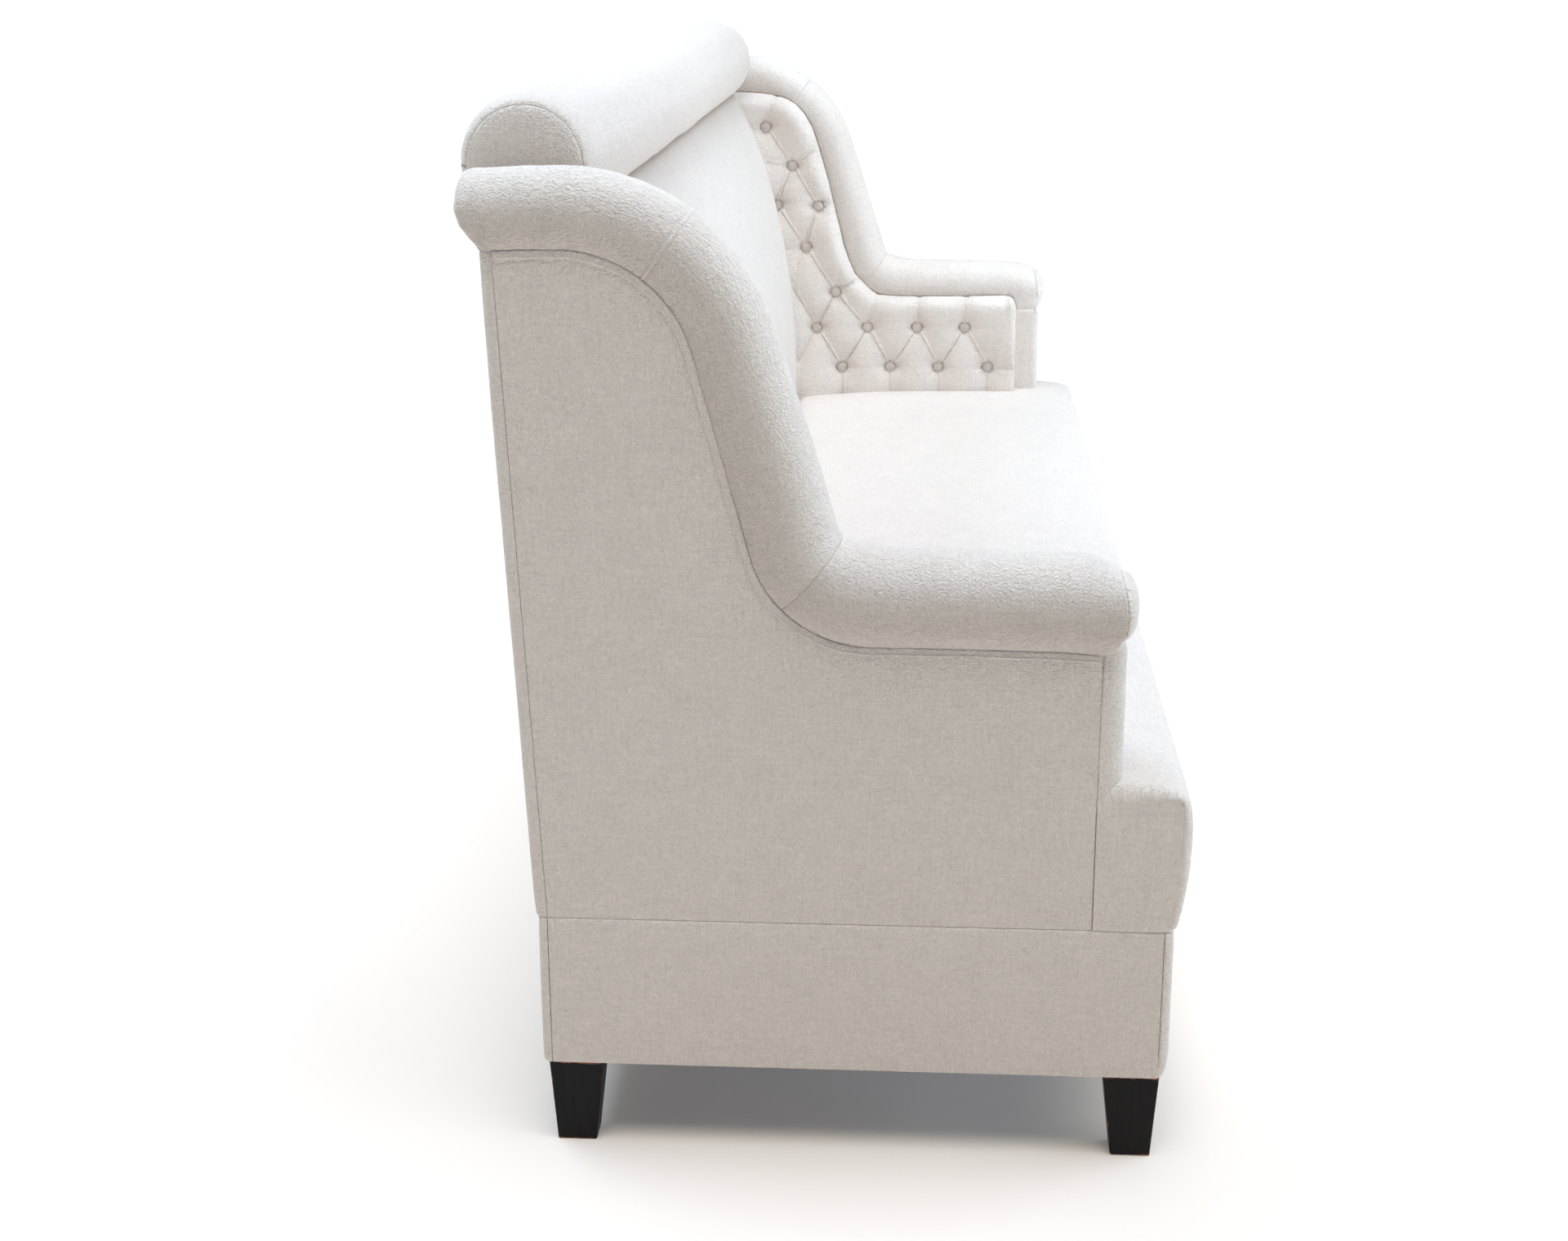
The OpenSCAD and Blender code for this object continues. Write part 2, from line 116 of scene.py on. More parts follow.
def roll_in_edge(d, r):
    """How far a fabric edge turns under, at distance d from its seam."""
    q = np.clip(1 - np.asarray(d, float) / r, 0, 1)
    return r * (1 - np.sqrt(np.maximum(0, 1 - q * q)))


def spaced(length, step, edge=(0.25, 0.6, 1.0, 1.5, 2.1, 3.0, 4.5, 7.0), ends=(True, True)):
    """Places along a length, close together near the ends that are seams."""
    a = [e for e in edge if ends[0] and e < length / 2]
    b = [length - e for e in reversed(edge) if ends[1] and e < length / 2]
    lo, hi = (a[-1] if a else 0), (b[0] if b else length)
    n = max(2, int(round((hi - lo) / step)))
    mid = [lo + (hi - lo) * k / n for k in range(n + 1)]
    return np.array(sorted(set([0.0] + a + [round(m, 4) for m in mid] + b + [float(length)])))


def grid_faces(nu, nv, wrap_u=False, wrap_v=False, start=0):
    iu = np.arange(nu if wrap_u else nu - 1)
    iv = np.arange(nv if wrap_v else nv - 1)
    a, b = np.meshgrid(iu, iv, indexing="ij")
    a1, b1 = (a + 1) % nu, (b + 1) % nv
    f = np.stack([a * nv + b, a1 * nv + b, a1 * nv + b1, a * nv + b1], -1).reshape(-1, 4)
    return f + start


def mesh_data(name, V, F4, F3=None, fab=None, extra=None, corners=False):
    V = np.asarray(V, float).reshape(-1, 3)
    me = bpy.data.meshes.new(name)
    me.vertices.add(len(V))
    me.vertices.foreach_set("co", (V * 0.001).astype(np.float32).ravel())
    F4 = np.asarray(F4, np.int32).reshape(-1, 4)
    F3 = np.zeros((0, 3), np.int32) if F3 is None else np.asarray(F3, np.int32).reshape(-1, 3)
    loops = np.concatenate([F4.ravel(), F3.ravel()])
    starts = np.concatenate([np.arange(len(F4)) * 4, len(F4) * 4 + np.arange(len(F3)) * 3])
    me.loops.add(len(loops))
    me.loops.foreach_set("vertex_index", loops.astype(np.int32))
    me.polygons.add(len(starts))
    me.polygons.foreach_set("loop_start", starts.astype(np.int32))
    me.update(calc_edges=True)
    me.validate()
    if fab is not None:
        fab = (np.asarray(fab, float).reshape(-1, 3) * 0.001).astype(np.float32)
        if corners:                  # two cloths that meet keep a weave each
            of = np.zeros(len(me.loops), np.int32)
            me.loops.foreach_get("vertex_index", of)
            fab = fab[of]
        at = me.attributes.new("fab", "FLOAT_VECTOR", "CORNER" if corners else "POINT")
        at.data.foreach_set("vector", fab.ravel())
    for key, val in (extra or {}).items():
        at = me.attributes.new(key, "FLOAT_VECTOR", "POINT")
        at.data.foreach_set("vector", np.asarray(val, float).reshape(-1, 3).astype(np.float32).ravel())
    return me


def close_open(me, project, angle=50):
    """Draws the open edges of a sheet back to where project says and closes them there."""
    bm = bmesh.new()
    bm.from_mesh(me)
    bmesh.ops.remove_doubles(bm, verts=bm.verts, dist=2e-6)
    edges = [e for e in bm.edges if e.is_boundary]
    if edges and project is not None:
        got = bmesh.ops.extrude_edge_only(bm, edges=edges)["geom"]
        new = [g for g in got if isinstance(g, bmesh.types.BMVert)]
        for v in new:
            v.co = Vector([c * 0.001 for c in project([c * 1000 for c in v.co])])
        bmesh.ops.remove_doubles(bm, verts=bm.verts, dist=2e-6)
        edges = [e for e in bm.edges if e.is_boundary]
    if edges:
        bmesh.ops.holes_fill(bm, edges=edges, sides=0)
    bmesh.ops.recalc_face_normals(bm, faces=bm.faces)
    bm.to_mesh(me)
    bm.free()
    me.update()


def finish_mesh(me, angle=50):
    me.polygons.foreach_set("use_smooth", np.ones(len(me.polygons), bool))
    me.set_sharp_from_angle(angle=rad(angle))
    me.update()


def piece(name, me, mat, nodes=(), angle=50):
    finish_mesh(me, angle)
    o = bpy.data.objects.new(name, me)
    scene.collection.objects.link(o)
    me.materials.append(mat)
    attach(o, "root")
    if nodes:
        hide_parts(*nodes)
    return o


def flip_x(V):
    W = np.array(V, float)
    W[..., 0] = -W[..., 0]
    return W


def resample(P, n=None, step=None, smooth=0):
    """Even points along a polyline."""
    P = np.asarray(P, float)
    for _ in range(smooth):
        Q = P.copy()
        Q[1:-1] = 0.25 * P[:-2] + 0.5 * P[1:-1] + 0.25 * P[2:]
        P = Q
    d = np.concatenate([[0], np.cumsum(np.linalg.norm(np.diff(P, axis=0), axis=1))])
    if n is None:
        n = int(round(d[-1] / step)) + 1
    s = np.linspace(0, d[-1], n)
    return np.stack([np.interp(s, d, P[:, k]) for k in range(P.shape[1])], 1), s


def seg_dist(p, a, b):
    """Distance of points p to segment a-b, where along it (0..1), and on which side."""
    a, b = np.asarray(a, float), np.asarray(b, float)
    ab = b - a
    L = np.linalg.norm(ab)
    t = np.clip(((p - a) @ ab) / (L * L), 0, 1)
    q = a + t[:, None] * ab
    d = np.linalg.norm(p - q, axis=1)
    side = (ab[0] * (p[:, 1] - a[1]) - ab[1] * (p[:, 0] - a[0])) / L
    return d, t, side


def line_dist(p, line):
    """Distance of points p (N,2) to a polyline."""
    best = np.full(len(p), 1e9)
    for a, b in zip(line[:-1], line[1:]):
        d, _, _ = seg_dist(p, a, b)
        best = np.minimum(best, d)
    return best


# ---------------------------------------------------------------- materials
def node(nt, kind, **kw):
    n = nt.nodes.new(kind)
    for k, v in kw.items():
        if k == "loc":
            n.location = v
        else:
            setattr(n, k, v)
    return n


def new_material(name):
    m = bpy.data.materials.new(name)
    m.use_nodes = True
    nt = m.node_tree
    nt.nodes.clear()
    out = node(nt, "ShaderNodeOutputMaterial")
    bsdf = node(nt, "ShaderNodeBsdfPrincipled")
    nt.links.new(bsdf.outputs[0], out.inputs["Surface"])
    return m, nt, bsdf


def mapped(nt, src, scale, shift=(0, 0, 0)):
    mp = node(nt, "ShaderNodeMapping")
    mp.inputs["Scale"].default_value = scale
    mp.inputs["Location"].default_value = shift
    nt.links.new(src, mp.inputs["Vector"])
    return mp.outputs[0]


def noise(nt, vec, scale=1.0, detail=2.0, rough=0.5, distort=0.0):
    n = node(nt, "ShaderNodeTexNoise")
    n.inputs["Scale"].default_value = scale
    n.inputs["Detail"].default_value = detail
    n.inputs["Roughness"].default_value = rough
    n.inputs["Distortion"].default_value = distort
    nt.links.new(vec, n.inputs["Vector"])
    return n.outputs["Fac"]


def math_node(nt, op, a, b=None, c=None, clamp=False):
    n = node(nt, "ShaderNodeMath", operation=op, use_clamp=clamp)
    for k, v in enumerate((a, b, c)):
        if v is None:
            continue
        if isinstance(v, (int, float)):
            n.inputs[k].default_value = v
        else:
            nt.links.new(v, n.inputs[k])
    return n.outputs[0]


def ramp(nt, fac, stops):
    n = node(nt, "ShaderNodeValToRGB")
    cr = n.color_ramp
    while len(cr.elements) > 1:
        cr.elements.remove(cr.elements[-1])
    cr.elements[0].position = stops[0][0]
    cr.elements[0].color = (*stops[0][1], 1)
    for pos, col in stops[1:]:
        e = cr.elements.new(pos)
        e.color = (*col, 1)
    nt.links.new(fac, n.inputs["Fac"])
    return n.outputs["Color"]


def mix_col(nt, fac, a, b, blend="MIX"):
    n = node(nt, "ShaderNodeMix", data_type="RGBA", blend_type=blend)
    if isinstance(fac, (int, float)):
        n.inputs[0].default_value = fac
    else:
        nt.links.new(fac, n.inputs[0])
    for k, v in ((6, a), (7, b)):
        if isinstance(v, tuple):
            n.inputs[k].default_value = (*v, 1)
        else:
            nt.links.new(v, n.inputs[k])
    return n.outputs[2]


def bump(nt, height, strength, dist, normal=None):
    n = node(nt, "ShaderNodeBump")
    n.inputs["Strength"].default_value = strength
    n.inputs["Distance"].default_value = dist
    nt.links.new(height, n.inputs["Height"])
    if normal is not None:
        nt.links.new(normal, n.inputs["Normal"])
    return n.outputs[0]


def linen(name, col, use_attr=True, contrast=1.0, relief=1.0, sheen=0.12, shade=None):
    """Plain woven linen: two sets of uneven threads, a slub here and there, and a soft crinkle."""
    m, nt, b = new_material(name)
    if use_attr:
        at = node(nt, "ShaderNodeAttribute", attribute_name="fab")
        src = at.outputs["Vector"]
    else:
        tc = node(nt, "ShaderNodeTexCoord")
        src = tc.outputs["Object"]
    # threads, about 1.5 mm apart and a few centimetres long before they thicken or thin
    warp = noise(nt, mapped(nt, src, (700, 95, 95)), detail=2.0, rough=0.55)
    weft = noise(nt, mapped(nt, src, (95, 700, 95), (3.1, 7.7, 1.3)), detail=2.0, rough=0.55)
    warp2 = noise(nt, mapped(nt, src, (260, 22, 30), (11.0, 2.0, 5.0)), detail=1.0)
    weft2 = noise(nt, mapped(nt, src, (22, 260, 30), (1.0, 9.0, 4.0)), detail=1.0)
    fleck = noise(nt, mapped(nt, src, (430, 430, 430), (0.5, 0.2, 0.7)), detail=2.0, rough=0.6)
    patch = noise(nt, mapped(nt, src, (22, 22, 22), (2.5, 4.2, 8.7)), detail=2.0)
    th = math_node(nt, "ADD", warp, weft)
    th2 = math_node(nt, "ADD", warp2, weft2)
    tone = math_node(nt, "MULTIPLY_ADD", th, 0.34, math_node(nt, "MULTIPLY", th2, 0.17))
    tone = math_node(nt, "MULTIPLY_ADD", fleck, 0.50, tone)
    tone = math_node(nt, "MULTIPLY_ADD", patch, 0.12, tone)
    # wandering creases a few millimetres apart, paler along their edges
    soft = noise(nt, mapped(nt, src, (235, 235, 235), (6.0, 1.0, 3.0)), detail=1.0, rough=0.5, distort=1.1)
    bend = node(nt, "ShaderNodeTexNoise")
    bend.inputs["Scale"].default_value = 1.0
    bend.inputs["Detail"].default_value = 1.0
    nt.links.new(mapped(nt, src, (120, 120, 120)), bend.inputs["Vector"])
    off = node(nt, "ShaderNodeVectorMath", operation="MULTIPLY_ADD")
    off.inputs[1].default_value = (1.9, 1.9, 1.9)
    nt.links.new(bend.outputs["Color"], off.inputs[0])
    nt.links.new(mapped(nt, src, (205, 205, 205)), off.inputs[2])
    vor = node(nt, "ShaderNodeTexVoronoi", voronoi_dimensions="2D", feature="DISTANCE_TO_EDGE")
    vor.inputs["Scale"].default_value = 1.0
    nt.links.new(off.outputs[0], vor.inputs["Vector"])
    cell = math_node(nt, "MULTIPLY", vor.outputs["Distance"], 3.0, clamp=True)
    pale = math_node(nt, "MULTIPLY", math_node(nt, "SUBTRACT", 1.0, math_node(nt, "MULTIPLY", cell, 2.2, clamp=True)),
                     math_node(nt, "MULTIPLY", math_node(nt, "SUBTRACT", soft, 0.42), 1.5, clamp=True))
    tone = math_node(nt, "MULTIPLY_ADD", pale, 0.42, tone)
    k = 0.15 * contrast
    fac = math_node(nt, "SUBTRACT", tone, 0.34)                 # mean about 0.5
    lo = tuple(c * (1 - k * 1.15) for c in col)
    hi = tuple(min(1.0, c * (1 + k)) for c in col)
    colr = ramp(nt, fac, [(0.20, lo), (0.50, col), (0.80, hi)])
    if shade is not None:
        # painted shade, where the lamps here give less of it than the photo shows
        sh = node(nt, "ShaderNodeAttribute", attribute_name="shade")
        colr = mix_col(nt, sh.outputs["Fac"], colr, shade, "MULTIPLY")
    nt.links.new(colr, b.inputs["Base Color"])
    b.inputs["Roughness"].default_value = 0.92
    b.inputs["Specular IOR Level"].default_value = 0.18
    b.inputs["Sheen Weight"].default_value = sheen
    b.inputs["Sheen Roughness"].default_value = 0.55
    h1 = math_node(nt, "MULTIPLY_ADD", th2, 0.30, math_node(nt, "MULTIPLY", th, 0.55))
    n1 = bump(nt, h1, 0.5 * relief, 0.0009)
    cr = math_node(nt, "MULTIPLY_ADD", cell, 0.20, math_node(nt, "MULTIPLY", soft, 0.75))
    n2 = bump(nt, cr, 0.8 * relief, 0.0034, n1)
    nt.links.new(n2, b.inputs["Normal"])
    return m


LINEN_COL = (0.760, 0.685, 0.625)
M_LINEN = linen("linen", LINEN_COL)
M_LINEN_BACK = linen("linen_back", LINEN_COL, shade=(0.52, 0.465, 0.42))
M_LINEN_ROLL = linen("linen_roll", LINEN_COL, shade=(0.52, 0.475, 0.44))
# darker than the linen: partly the buttons' own tone, partly painted shade of the dimples they sit in
M_BUTTON = linen("linen_button", (0.61, 0.535, 0.475), contrast=0.8)


def black_paint():
    m, nt, b = new_material("black_wood")
    at = node(nt, "ShaderNodeAttribute", attribute_name="leg")     # -1..1 across, 0..1 up
    sep = node(nt, "ShaderNodeSeparateXYZ")
    nt.links.new(at.outputs["Vector"], sep.inputs[0])
    ax = math_node(nt, "ABSOLUTE", sep.outputs[0])
    ay = math_node(nt, "ABSOLUTE", sep.outputs[1])
    fx = math_node(nt, "MULTIPLY", math_node(nt, "SUBTRACT", ax, 0.90), 10.0, clamp=True)
    fy = math_node(nt, "MULTIPLY", math_node(nt, "SUBTRACT", ay, 0.90), 10.0, clamp=True)
    fz = math_node(nt, "MULTIPLY", math_node(nt, "SUBTRACT", 0.045, sep.outputs[2]), 26.0, clamp=True)
    ft = math_node(nt, "MULTIPLY", math_node(nt, "SUBTRACT", sep.outputs[2], 0.955), 26.0, clamp=True)
    fe = math_node(nt, "MAXIMUM", fz, ft)
    ex = math_node(nt, "MULTIPLY", fx, fy)
    ez = math_node(nt, "MULTIPLY", math_node(nt, "MAXIMUM", fx, fy), fe)
    edge = math_node(nt, "MAXIMUM", ex, ez)
    tc = node(nt, "ShaderNodeTexCoord")
    src = tc.outputs["Object"]
    rub = noise(nt, mapped(nt, src, (70, 70, 70)), detail=3.0, rough=0.65)
    w = math_node(nt, "MULTIPLY_ADD", edge, 0.62, rub)
    wear = math_node(nt, "MULTIPLY", math_node(nt, "SUBTRACT", w, 0.93), 9.0, clamp=True)
    thin = math_node(nt, "MULTIPLY", math_node(nt, "SUBTRACT", w, 0.74), 3.0, clamp=True)
    grain = noise(nt, mapped(nt, src, (260, 260, 14)), detail=4.0, rough=0.6, distort=0.3)
    paint = ramp(nt, grain, [(0.3, (0.0045, 0.0040, 0.0042)), (0.7, (0.0085, 0.0076, 0.0080))])
    red = mix_col(nt, thin, paint, (0.030, 0.010, 0.006))
    col = mix_col(nt, wear, red, (0.26, 0.095, 0.034))
    nt.links.new(col, b.inputs["Base Color"])
    ro = math_node(nt, "MULTIPLY_ADD", grain, 0.16, 0.36)
    ro = math_node(nt, "MULTIPLY_ADD", wear, 0.22, ro)
    nt.links.new(ro, b.inputs["Roughness"])
    b.inputs["Specular IOR Level"].default_value = 0.16
    hh = math_node(nt, "MULTIPLY_ADD", wear, -0.5, grain)
    nt.links.new(bump(nt, hh, 0.22, 0.0006), b.inputs["Normal"])
    return m


def wood(name, dark, light, grain_axis=0, knots=0.0, rough=0.62):
    m, nt, b = new_material(name)
    tc = node(nt, "ShaderNodeTexCoord")
    sc = [90.0, 90.0, 90.0]
    sc[grain_axis] = 5.0
    g = noise(nt, mapped(nt, tc.outputs["Object"], tuple(sc)), detail=5.0, rough=0.6, distort=0.6)
    sc2 = [420.0, 420.0, 420.0]
    sc2[grain_axis] = 14.0
    p = noise(nt, mapped(nt, tc.outputs["Object"], tuple(sc2)), detail=2.0)
    f = math_node(nt, "MULTIPLY_ADD", p, 0.35, math_node(nt, "MULTIPLY", g, 0.75))
    nt.links.new(ramp(nt, f, [(0.30, dark), (0.55, tuple((a + c) / 2 for a, c in zip(dark, light))), (0.78, light)]), b.inputs["Base Color"])
    nt.links.new(math_node(nt, "MULTIPLY_ADD", g, 0.2, rough - 0.1), b.inputs["Roughness"])
    nt.links.new(bump(nt, f, 0.35, 0.0006), b.inputs["Normal"])
    return m


def ply_wood():
    m, nt, b = new_material("plywood")
    tc = node(nt, "ShaderNodeTexCoord")
    src = tc.outputs["Object"]
    g = noise(nt, mapped(nt, src, (60, 60, 7)), detail=5.0, rough=0.6, distort=0.8)
    sep = node(nt, "ShaderNodeSeparateXYZ")
    nt.links.new(src, sep.inputs[0])
    lay = math_node(nt, "FRACT", math_node(nt, "MULTIPLY", sep.outputs[0], 277.0))
    ply = math_node(nt, "GREATER_THAN", lay, 0.5)
    face = ramp(nt, g, [(0.3, (0.46, 0.33, 0.20)), (0.7, (0.64, 0.50, 0.33))])
    col = mix_col(nt, math_node(nt, "MULTIPLY", ply, 0.25), face, (0.33, 0.22, 0.13))
    nt.links.new(col, b.inputs["Base Color"])
    nt.links.new(math_node(nt, "MULTIPLY_ADD", g, 0.2, 0.55), b.inputs["Roughness"])
    nt.links.new(bump(nt, g, 0.3, 0.0005), b.inputs["Normal"])
    return m


def webbing_mat():
    m, nt, b = new_material("webbing")
    tc = node(nt, "ShaderNodeTexCoord")
    src = tc.outputs["Object"]
    w = noise(nt, mapped(nt, src, (700, 90, 700)), detail=2.0)
    sep = node(nt, "ShaderNodeSeparateXYZ")
    nt.links.new(src, sep.inputs[0])
    rib = math_node(nt, "PINGPONG", math_node(nt, "MULTIPLY", sep.outputs[1], 400.0), 0.5)
    f = math_node(nt, "MULTIPLY_ADD", w, 0.6, rib)
    nt.links.new(ramp(nt, f, [(0.3, (0.035, 0.035, 0.042)), (0.8, (0.10, 0.10, 0.115))]), b.inputs["Base Color"])
    nt.links.new(math_node(nt, "MULTIPLY_ADD", w, 0.2, 0.7), b.inputs["Roughness"])
    nt.links.new(bump(nt, f, 0.6, 0.0006), b.inputs["Normal"])
    return m


def cambric_mat():
    m, nt, b = new_material("cambric")
    tc = node(nt, "ShaderNodeTexCoord")
    src = tc.outputs["Object"]
    w = noise(nt, mapped(nt, src, (900, 60, 60)), detail=2.0)
    v = noise(nt, mapped(nt, src, (60, 900, 60)), detail=2.0)
    f = math_node(nt, "MULTIPLY", math_node(nt, "ADD", w, v), 0.5)
    nt.links.new(ramp(nt, f, [(0.35, (0.018, 0.018, 0.020)), (0.7, (0.045, 0.045, 0.050))]), b.inputs["Base Color"])
    nt.links.new(math_node(nt, "MULTIPLY_ADD", f, 0.15, 0.8), b.inputs["Roughness"])
    nt.links.new(bump(nt, f, 0.4, 0.0004), b.inputs["Normal"])
    return m


def glide_mat():
    m, nt, b = new_material("glide")
    tc = node(nt, "ShaderNodeTexCoord")
    f = noise(nt, mapped(nt, tc.outputs["Object"], (500, 500, 500)), detail=3.0)
    nt.links.new(ramp(nt, f, [(0.3, (0.03, 0.03, 0.032)), (0.7, (0.055, 0.055, 0.06))]), b.inputs["Base Color"])
    nt.links.new(math_node(nt, "MULTIPLY_ADD", f, 0.2, 0.4), b.inputs["Roughness"])
    nt.links.new(bump(nt, f, 0.2, 0.0003), b.inputs["Normal"])
    return m


def steel_mat():
    m, nt, b = new_material("steel")
    tc = node(nt, "ShaderNodeTexCoord")
    f = noise(nt, mapped(nt, tc.outputs["Object"], (900, 900, 60)), detail=3.0)
    nt.links.new(ramp(nt, f, [(0.3, (0.42, 0.42, 0.43)), (0.7, (0.60, 0.60, 0.62))]), b.inputs["Base Color"])
    b.inputs["Metallic"].default_value = 1.0
    nt.links.new(math_node(nt, "MULTIPLY_ADD", f, 0.25, 0.28), b.inputs["Roughness"])
    nt.links.new(bump(nt, f, 0.2, 0.0003), b.inputs["Normal"])
    return m


def foam_mat():
    m, nt, b = new_material("foam")
    tc = node(nt, "ShaderNodeTexCoord")
    f = noise(nt, mapped(nt, tc.outputs["Object"], (900, 900, 900)), detail=3.0, rough=0.7)
    g = noise(nt, mapped(nt, tc.outputs["Object"], (20, 20, 20)), detail=2.0)
    nt.links.new(ramp(nt, math_node(nt, "MULTIPLY_ADD", f, 0.6, math_node(nt, "MULTIPLY", g, 0.4)),
                      [(0.3, (0.62, 0.52, 0.30)), (0.7, (0.80, 0.71, 0.46))]), b.inputs["Base Color"])
    nt.links.new(math_node(nt, "MULTIPLY_ADD", f, 0.1, 0.85), b.inputs["Roughness"])
    nt.links.new(bump(nt, f, 0.5, 0.0006), b.inputs["Normal"])
    return m


M_BLACK = black_paint()
M_HARD_X = wood("hardwood_x", (0.36, 0.22, 0.11), (0.60, 0.42, 0.24), 0)
M_HARD_Y = wood("hardwood_y", (0.36, 0.22, 0.11), (0.60, 0.42, 0.24), 1)
M_HARD_Z = wood("hardwood_z", (0.36, 0.22, 0.11), (0.60, 0.42, 0.24), 2)
M_PLY, M_WEB, M_CAMBRIC, M_GLIDE, M_STEEL, M_FOAM = ply_wood(), webbing_mat(), cambric_mat(), glide_mat(), steel_mat(), foam_mat()

KEPT = {
    "base_rail_front": M_HARD_X, "base_rail_back": M_HARD_X, "base_rail_left": M_HARD_Y, "base_rail_right": M_HARD_Y,
    "base_stretchers": M_HARD_Y, "corner_blocks": M_HARD_X, "back_posts": M_HARD_Z, "back_top_rail": M_HARD_X,
    "back_cross_rails": M_HARD_X, "arm_post_left": M_HARD_Z, "arm_post_right": M_HARD_Z,
    "roll_strip_left": M_HARD_Y, "roll_strip_right": M_HARD_Y, "bolster_core": M_HARD_X,
    "side_board_left": M_PLY, "side_board_right": M_PLY, "seat_webbing": M_WEB, "back_webbing": M_WEB,
    "dust_cover": M_CAMBRIC, "leg_glides": M_GLIDE, "leg_bolts": M_STEEL, "bolster_bolts": M_STEEL,
}
for key, mat in KEPT.items():
    me = NODES[key].data
    me.materials.clear()
    me.materials.append(mat)

# ---------------------------------------------------------------- the side's outline
W2 = 1200.0
SEAM_W, SEAM_A = 1079.0, 638.0
SH_R, HO_R, SLANT = 150.0, 140.0, 75.0
sh_y, sh_z = 291.5, SEAM_W - SH_R
se_y, se_z = sh_y - SH_R * math.sin(rad(SLANT)), sh_z + SH_R * math.cos(rad(SLANT))
ho_z = SEAM_A + HO_R
he_z = ho_z - HO_R * math.cos(rad(SLANT))
he_y = se_y - (se_z - he_z) / math.tan(rad(SLANT))
ho_y = he_y - HO_R * math.sin(rad(SLANT))
slant_len = (se_z - he_z) / math.sin(rad(SLANT))
RAKE = 2.43


def back_y(z):
    return 328 + (z - 298) * math.tan(rad(RAKE))


L1 = 402 - sh_y                     # straight top, from y 402
L2 = SH_R * rad(SLANT)
L3 = slant_len
L4 = HO_R * rad(SLANT)
S_SH, S_SL, S_HO, S_ARM = L1, L1 + L2, L1 + L2 + L3, L1 + L2 + L3 + L4
S_MITRE = S_HO + HO_R * rad(SLANT - 46)


def path(s):
    """Along the roll seam from (402, 1079): y, z and the angle of the seam from the horizontal, for places s."""
    s = np.asarray(s, float)
    y = np.where(s < S_SH, 402 - s, 0.0)
    z = np.where(s < S_SH, SEAM_W, 0.0)
    th = np.zeros_like(s)
    m = (s >= S_SH) & (s < S_SL)
    a = (s - S_SH) / SH_R
    y, z, th = np.where(m, sh_y - SH_R * np.sin(a), y), np.where(m, sh_z + SH_R * np.cos(a), z), np.where(m, a, th)
    m = (s >= S_SL) & (s < S_HO)
    d = s - S_SL
    y = np.where(m, se_y - d * math.cos(rad(SLANT)), y)
    z = np.where(m, se_z - d * math.sin(rad(SLANT)), z)
    th = np.where(m, rad(SLANT), th)
    m = (s >= S_HO) & (s < S_ARM)
    a = rad(SLANT) - (s - S_HO) / HO_R
    y, z, th = np.where(m, ho_y + HO_R * np.sin(a), y), np.where(m, ho_z - HO_R * np.cos(a), z), np.where(m, a, th)
    m = s >= S_ARM
    y, z, th = np.where(m, ho_y - (s - S_ARM), y), np.where(m, SEAM_A, z), np.where(m, 0.0, th)
    return y, z, th


def arm_dip(y):
    """The arm's seam runs down a little towards the front, the top's towards the back."""
    return np.interp(-np.asarray(y, float), [-372, -330, 90, 171, 261, 309, 340], [-2, 0, 0, -0.5, -2, -5, -7])


def dip(y, z):
    """The same for a point of the side, fading out below the roll."""
    return arm_dip(y) * smooth01((np.asarray(z, float) - 470) / 150)


def seam_line(n=0.0, s0=0.0, s1=None, step=4.0):
    s1 = S_ARM + (ho_y + 307) if s1 is None else s1
    s = np.linspace(s0, s1, int((s1 - s0) / step) + 1)
    y, z, th = path(s)
    y, z = y - n * np.sin(th), z + n * np.cos(th)
    return np.stack([y, z + arm_dip(y)], 1), s


def roll_r(s):
    return np.interp(s, [0, S_SH, S_SL, (S_SL + S_HO) / 2, S_HO, S_MITRE, S_ARM + 60, 3000],
                     [52.3, 52.6, 54.6, 57.2, 58.6, 59.6, 60.5, 60.6])


IN = 42.0                            # the roll's middle, in from the outer panel

# the inner pad's top edge, from the back to the front corner: y, z
PAD_TOP = [(326, 1092.5), (291, 1092), (249, 1090), (215, 1086), (190, 1077), (173, 1067), (156, 1048), (139, 1018), (127, 982),
           (117, 948), (105, 907), (95, 865), (84, 822), (74, 780), (62, 746), (50, 720), (31, 700), (13, 683), (-7, 675),
           (-42, 673), (-128, 673), (-213, 674.5), (-262, 676), (-275, 674), (-283.5, 668), (-287.5, 658), (-288, 646)]


def pad_edge_n():
    """How far above the roll seam the inner pad ends, for places along the seam."""
    s = np.linspace(0, 1500, 1200)
    y, z, th = path(s)
    top = np.array(PAD_TOP, float)
    top = top[np.argsort(top[:, 0], kind="stable")]
    n = np.arange(4, 60, 0.25)
    yy = y[:, None] - n[None, :] * np.sin(th)[:, None]
    zz = z[:, None] + n[None, :] * np.cos(th)[:, None]
    over = zz + arm_dip(yy) > np.interp(yy, top[:, 0], top[:, 1])
    first = n[np.argmax(over, axis=1)]
    first = np.where(y < -262, np.interp(-262, top[:, 0], top[:, 1]) - SEAM_A, first)
    k = np.ones(31) / 31
    first = np.convolve(np.pad(first, 15, mode="edge"), k, "valid")
    corner = np.interp(y, [-288, -287.5, -283.5, -275, -262], [646, 658, 668, 674, 676]) - SEAM_A - arm_dip(y)
    first = np.where(y < -262, np.minimum(first, corner), first)
    return s, first


PAD_N = pad_edge_n()


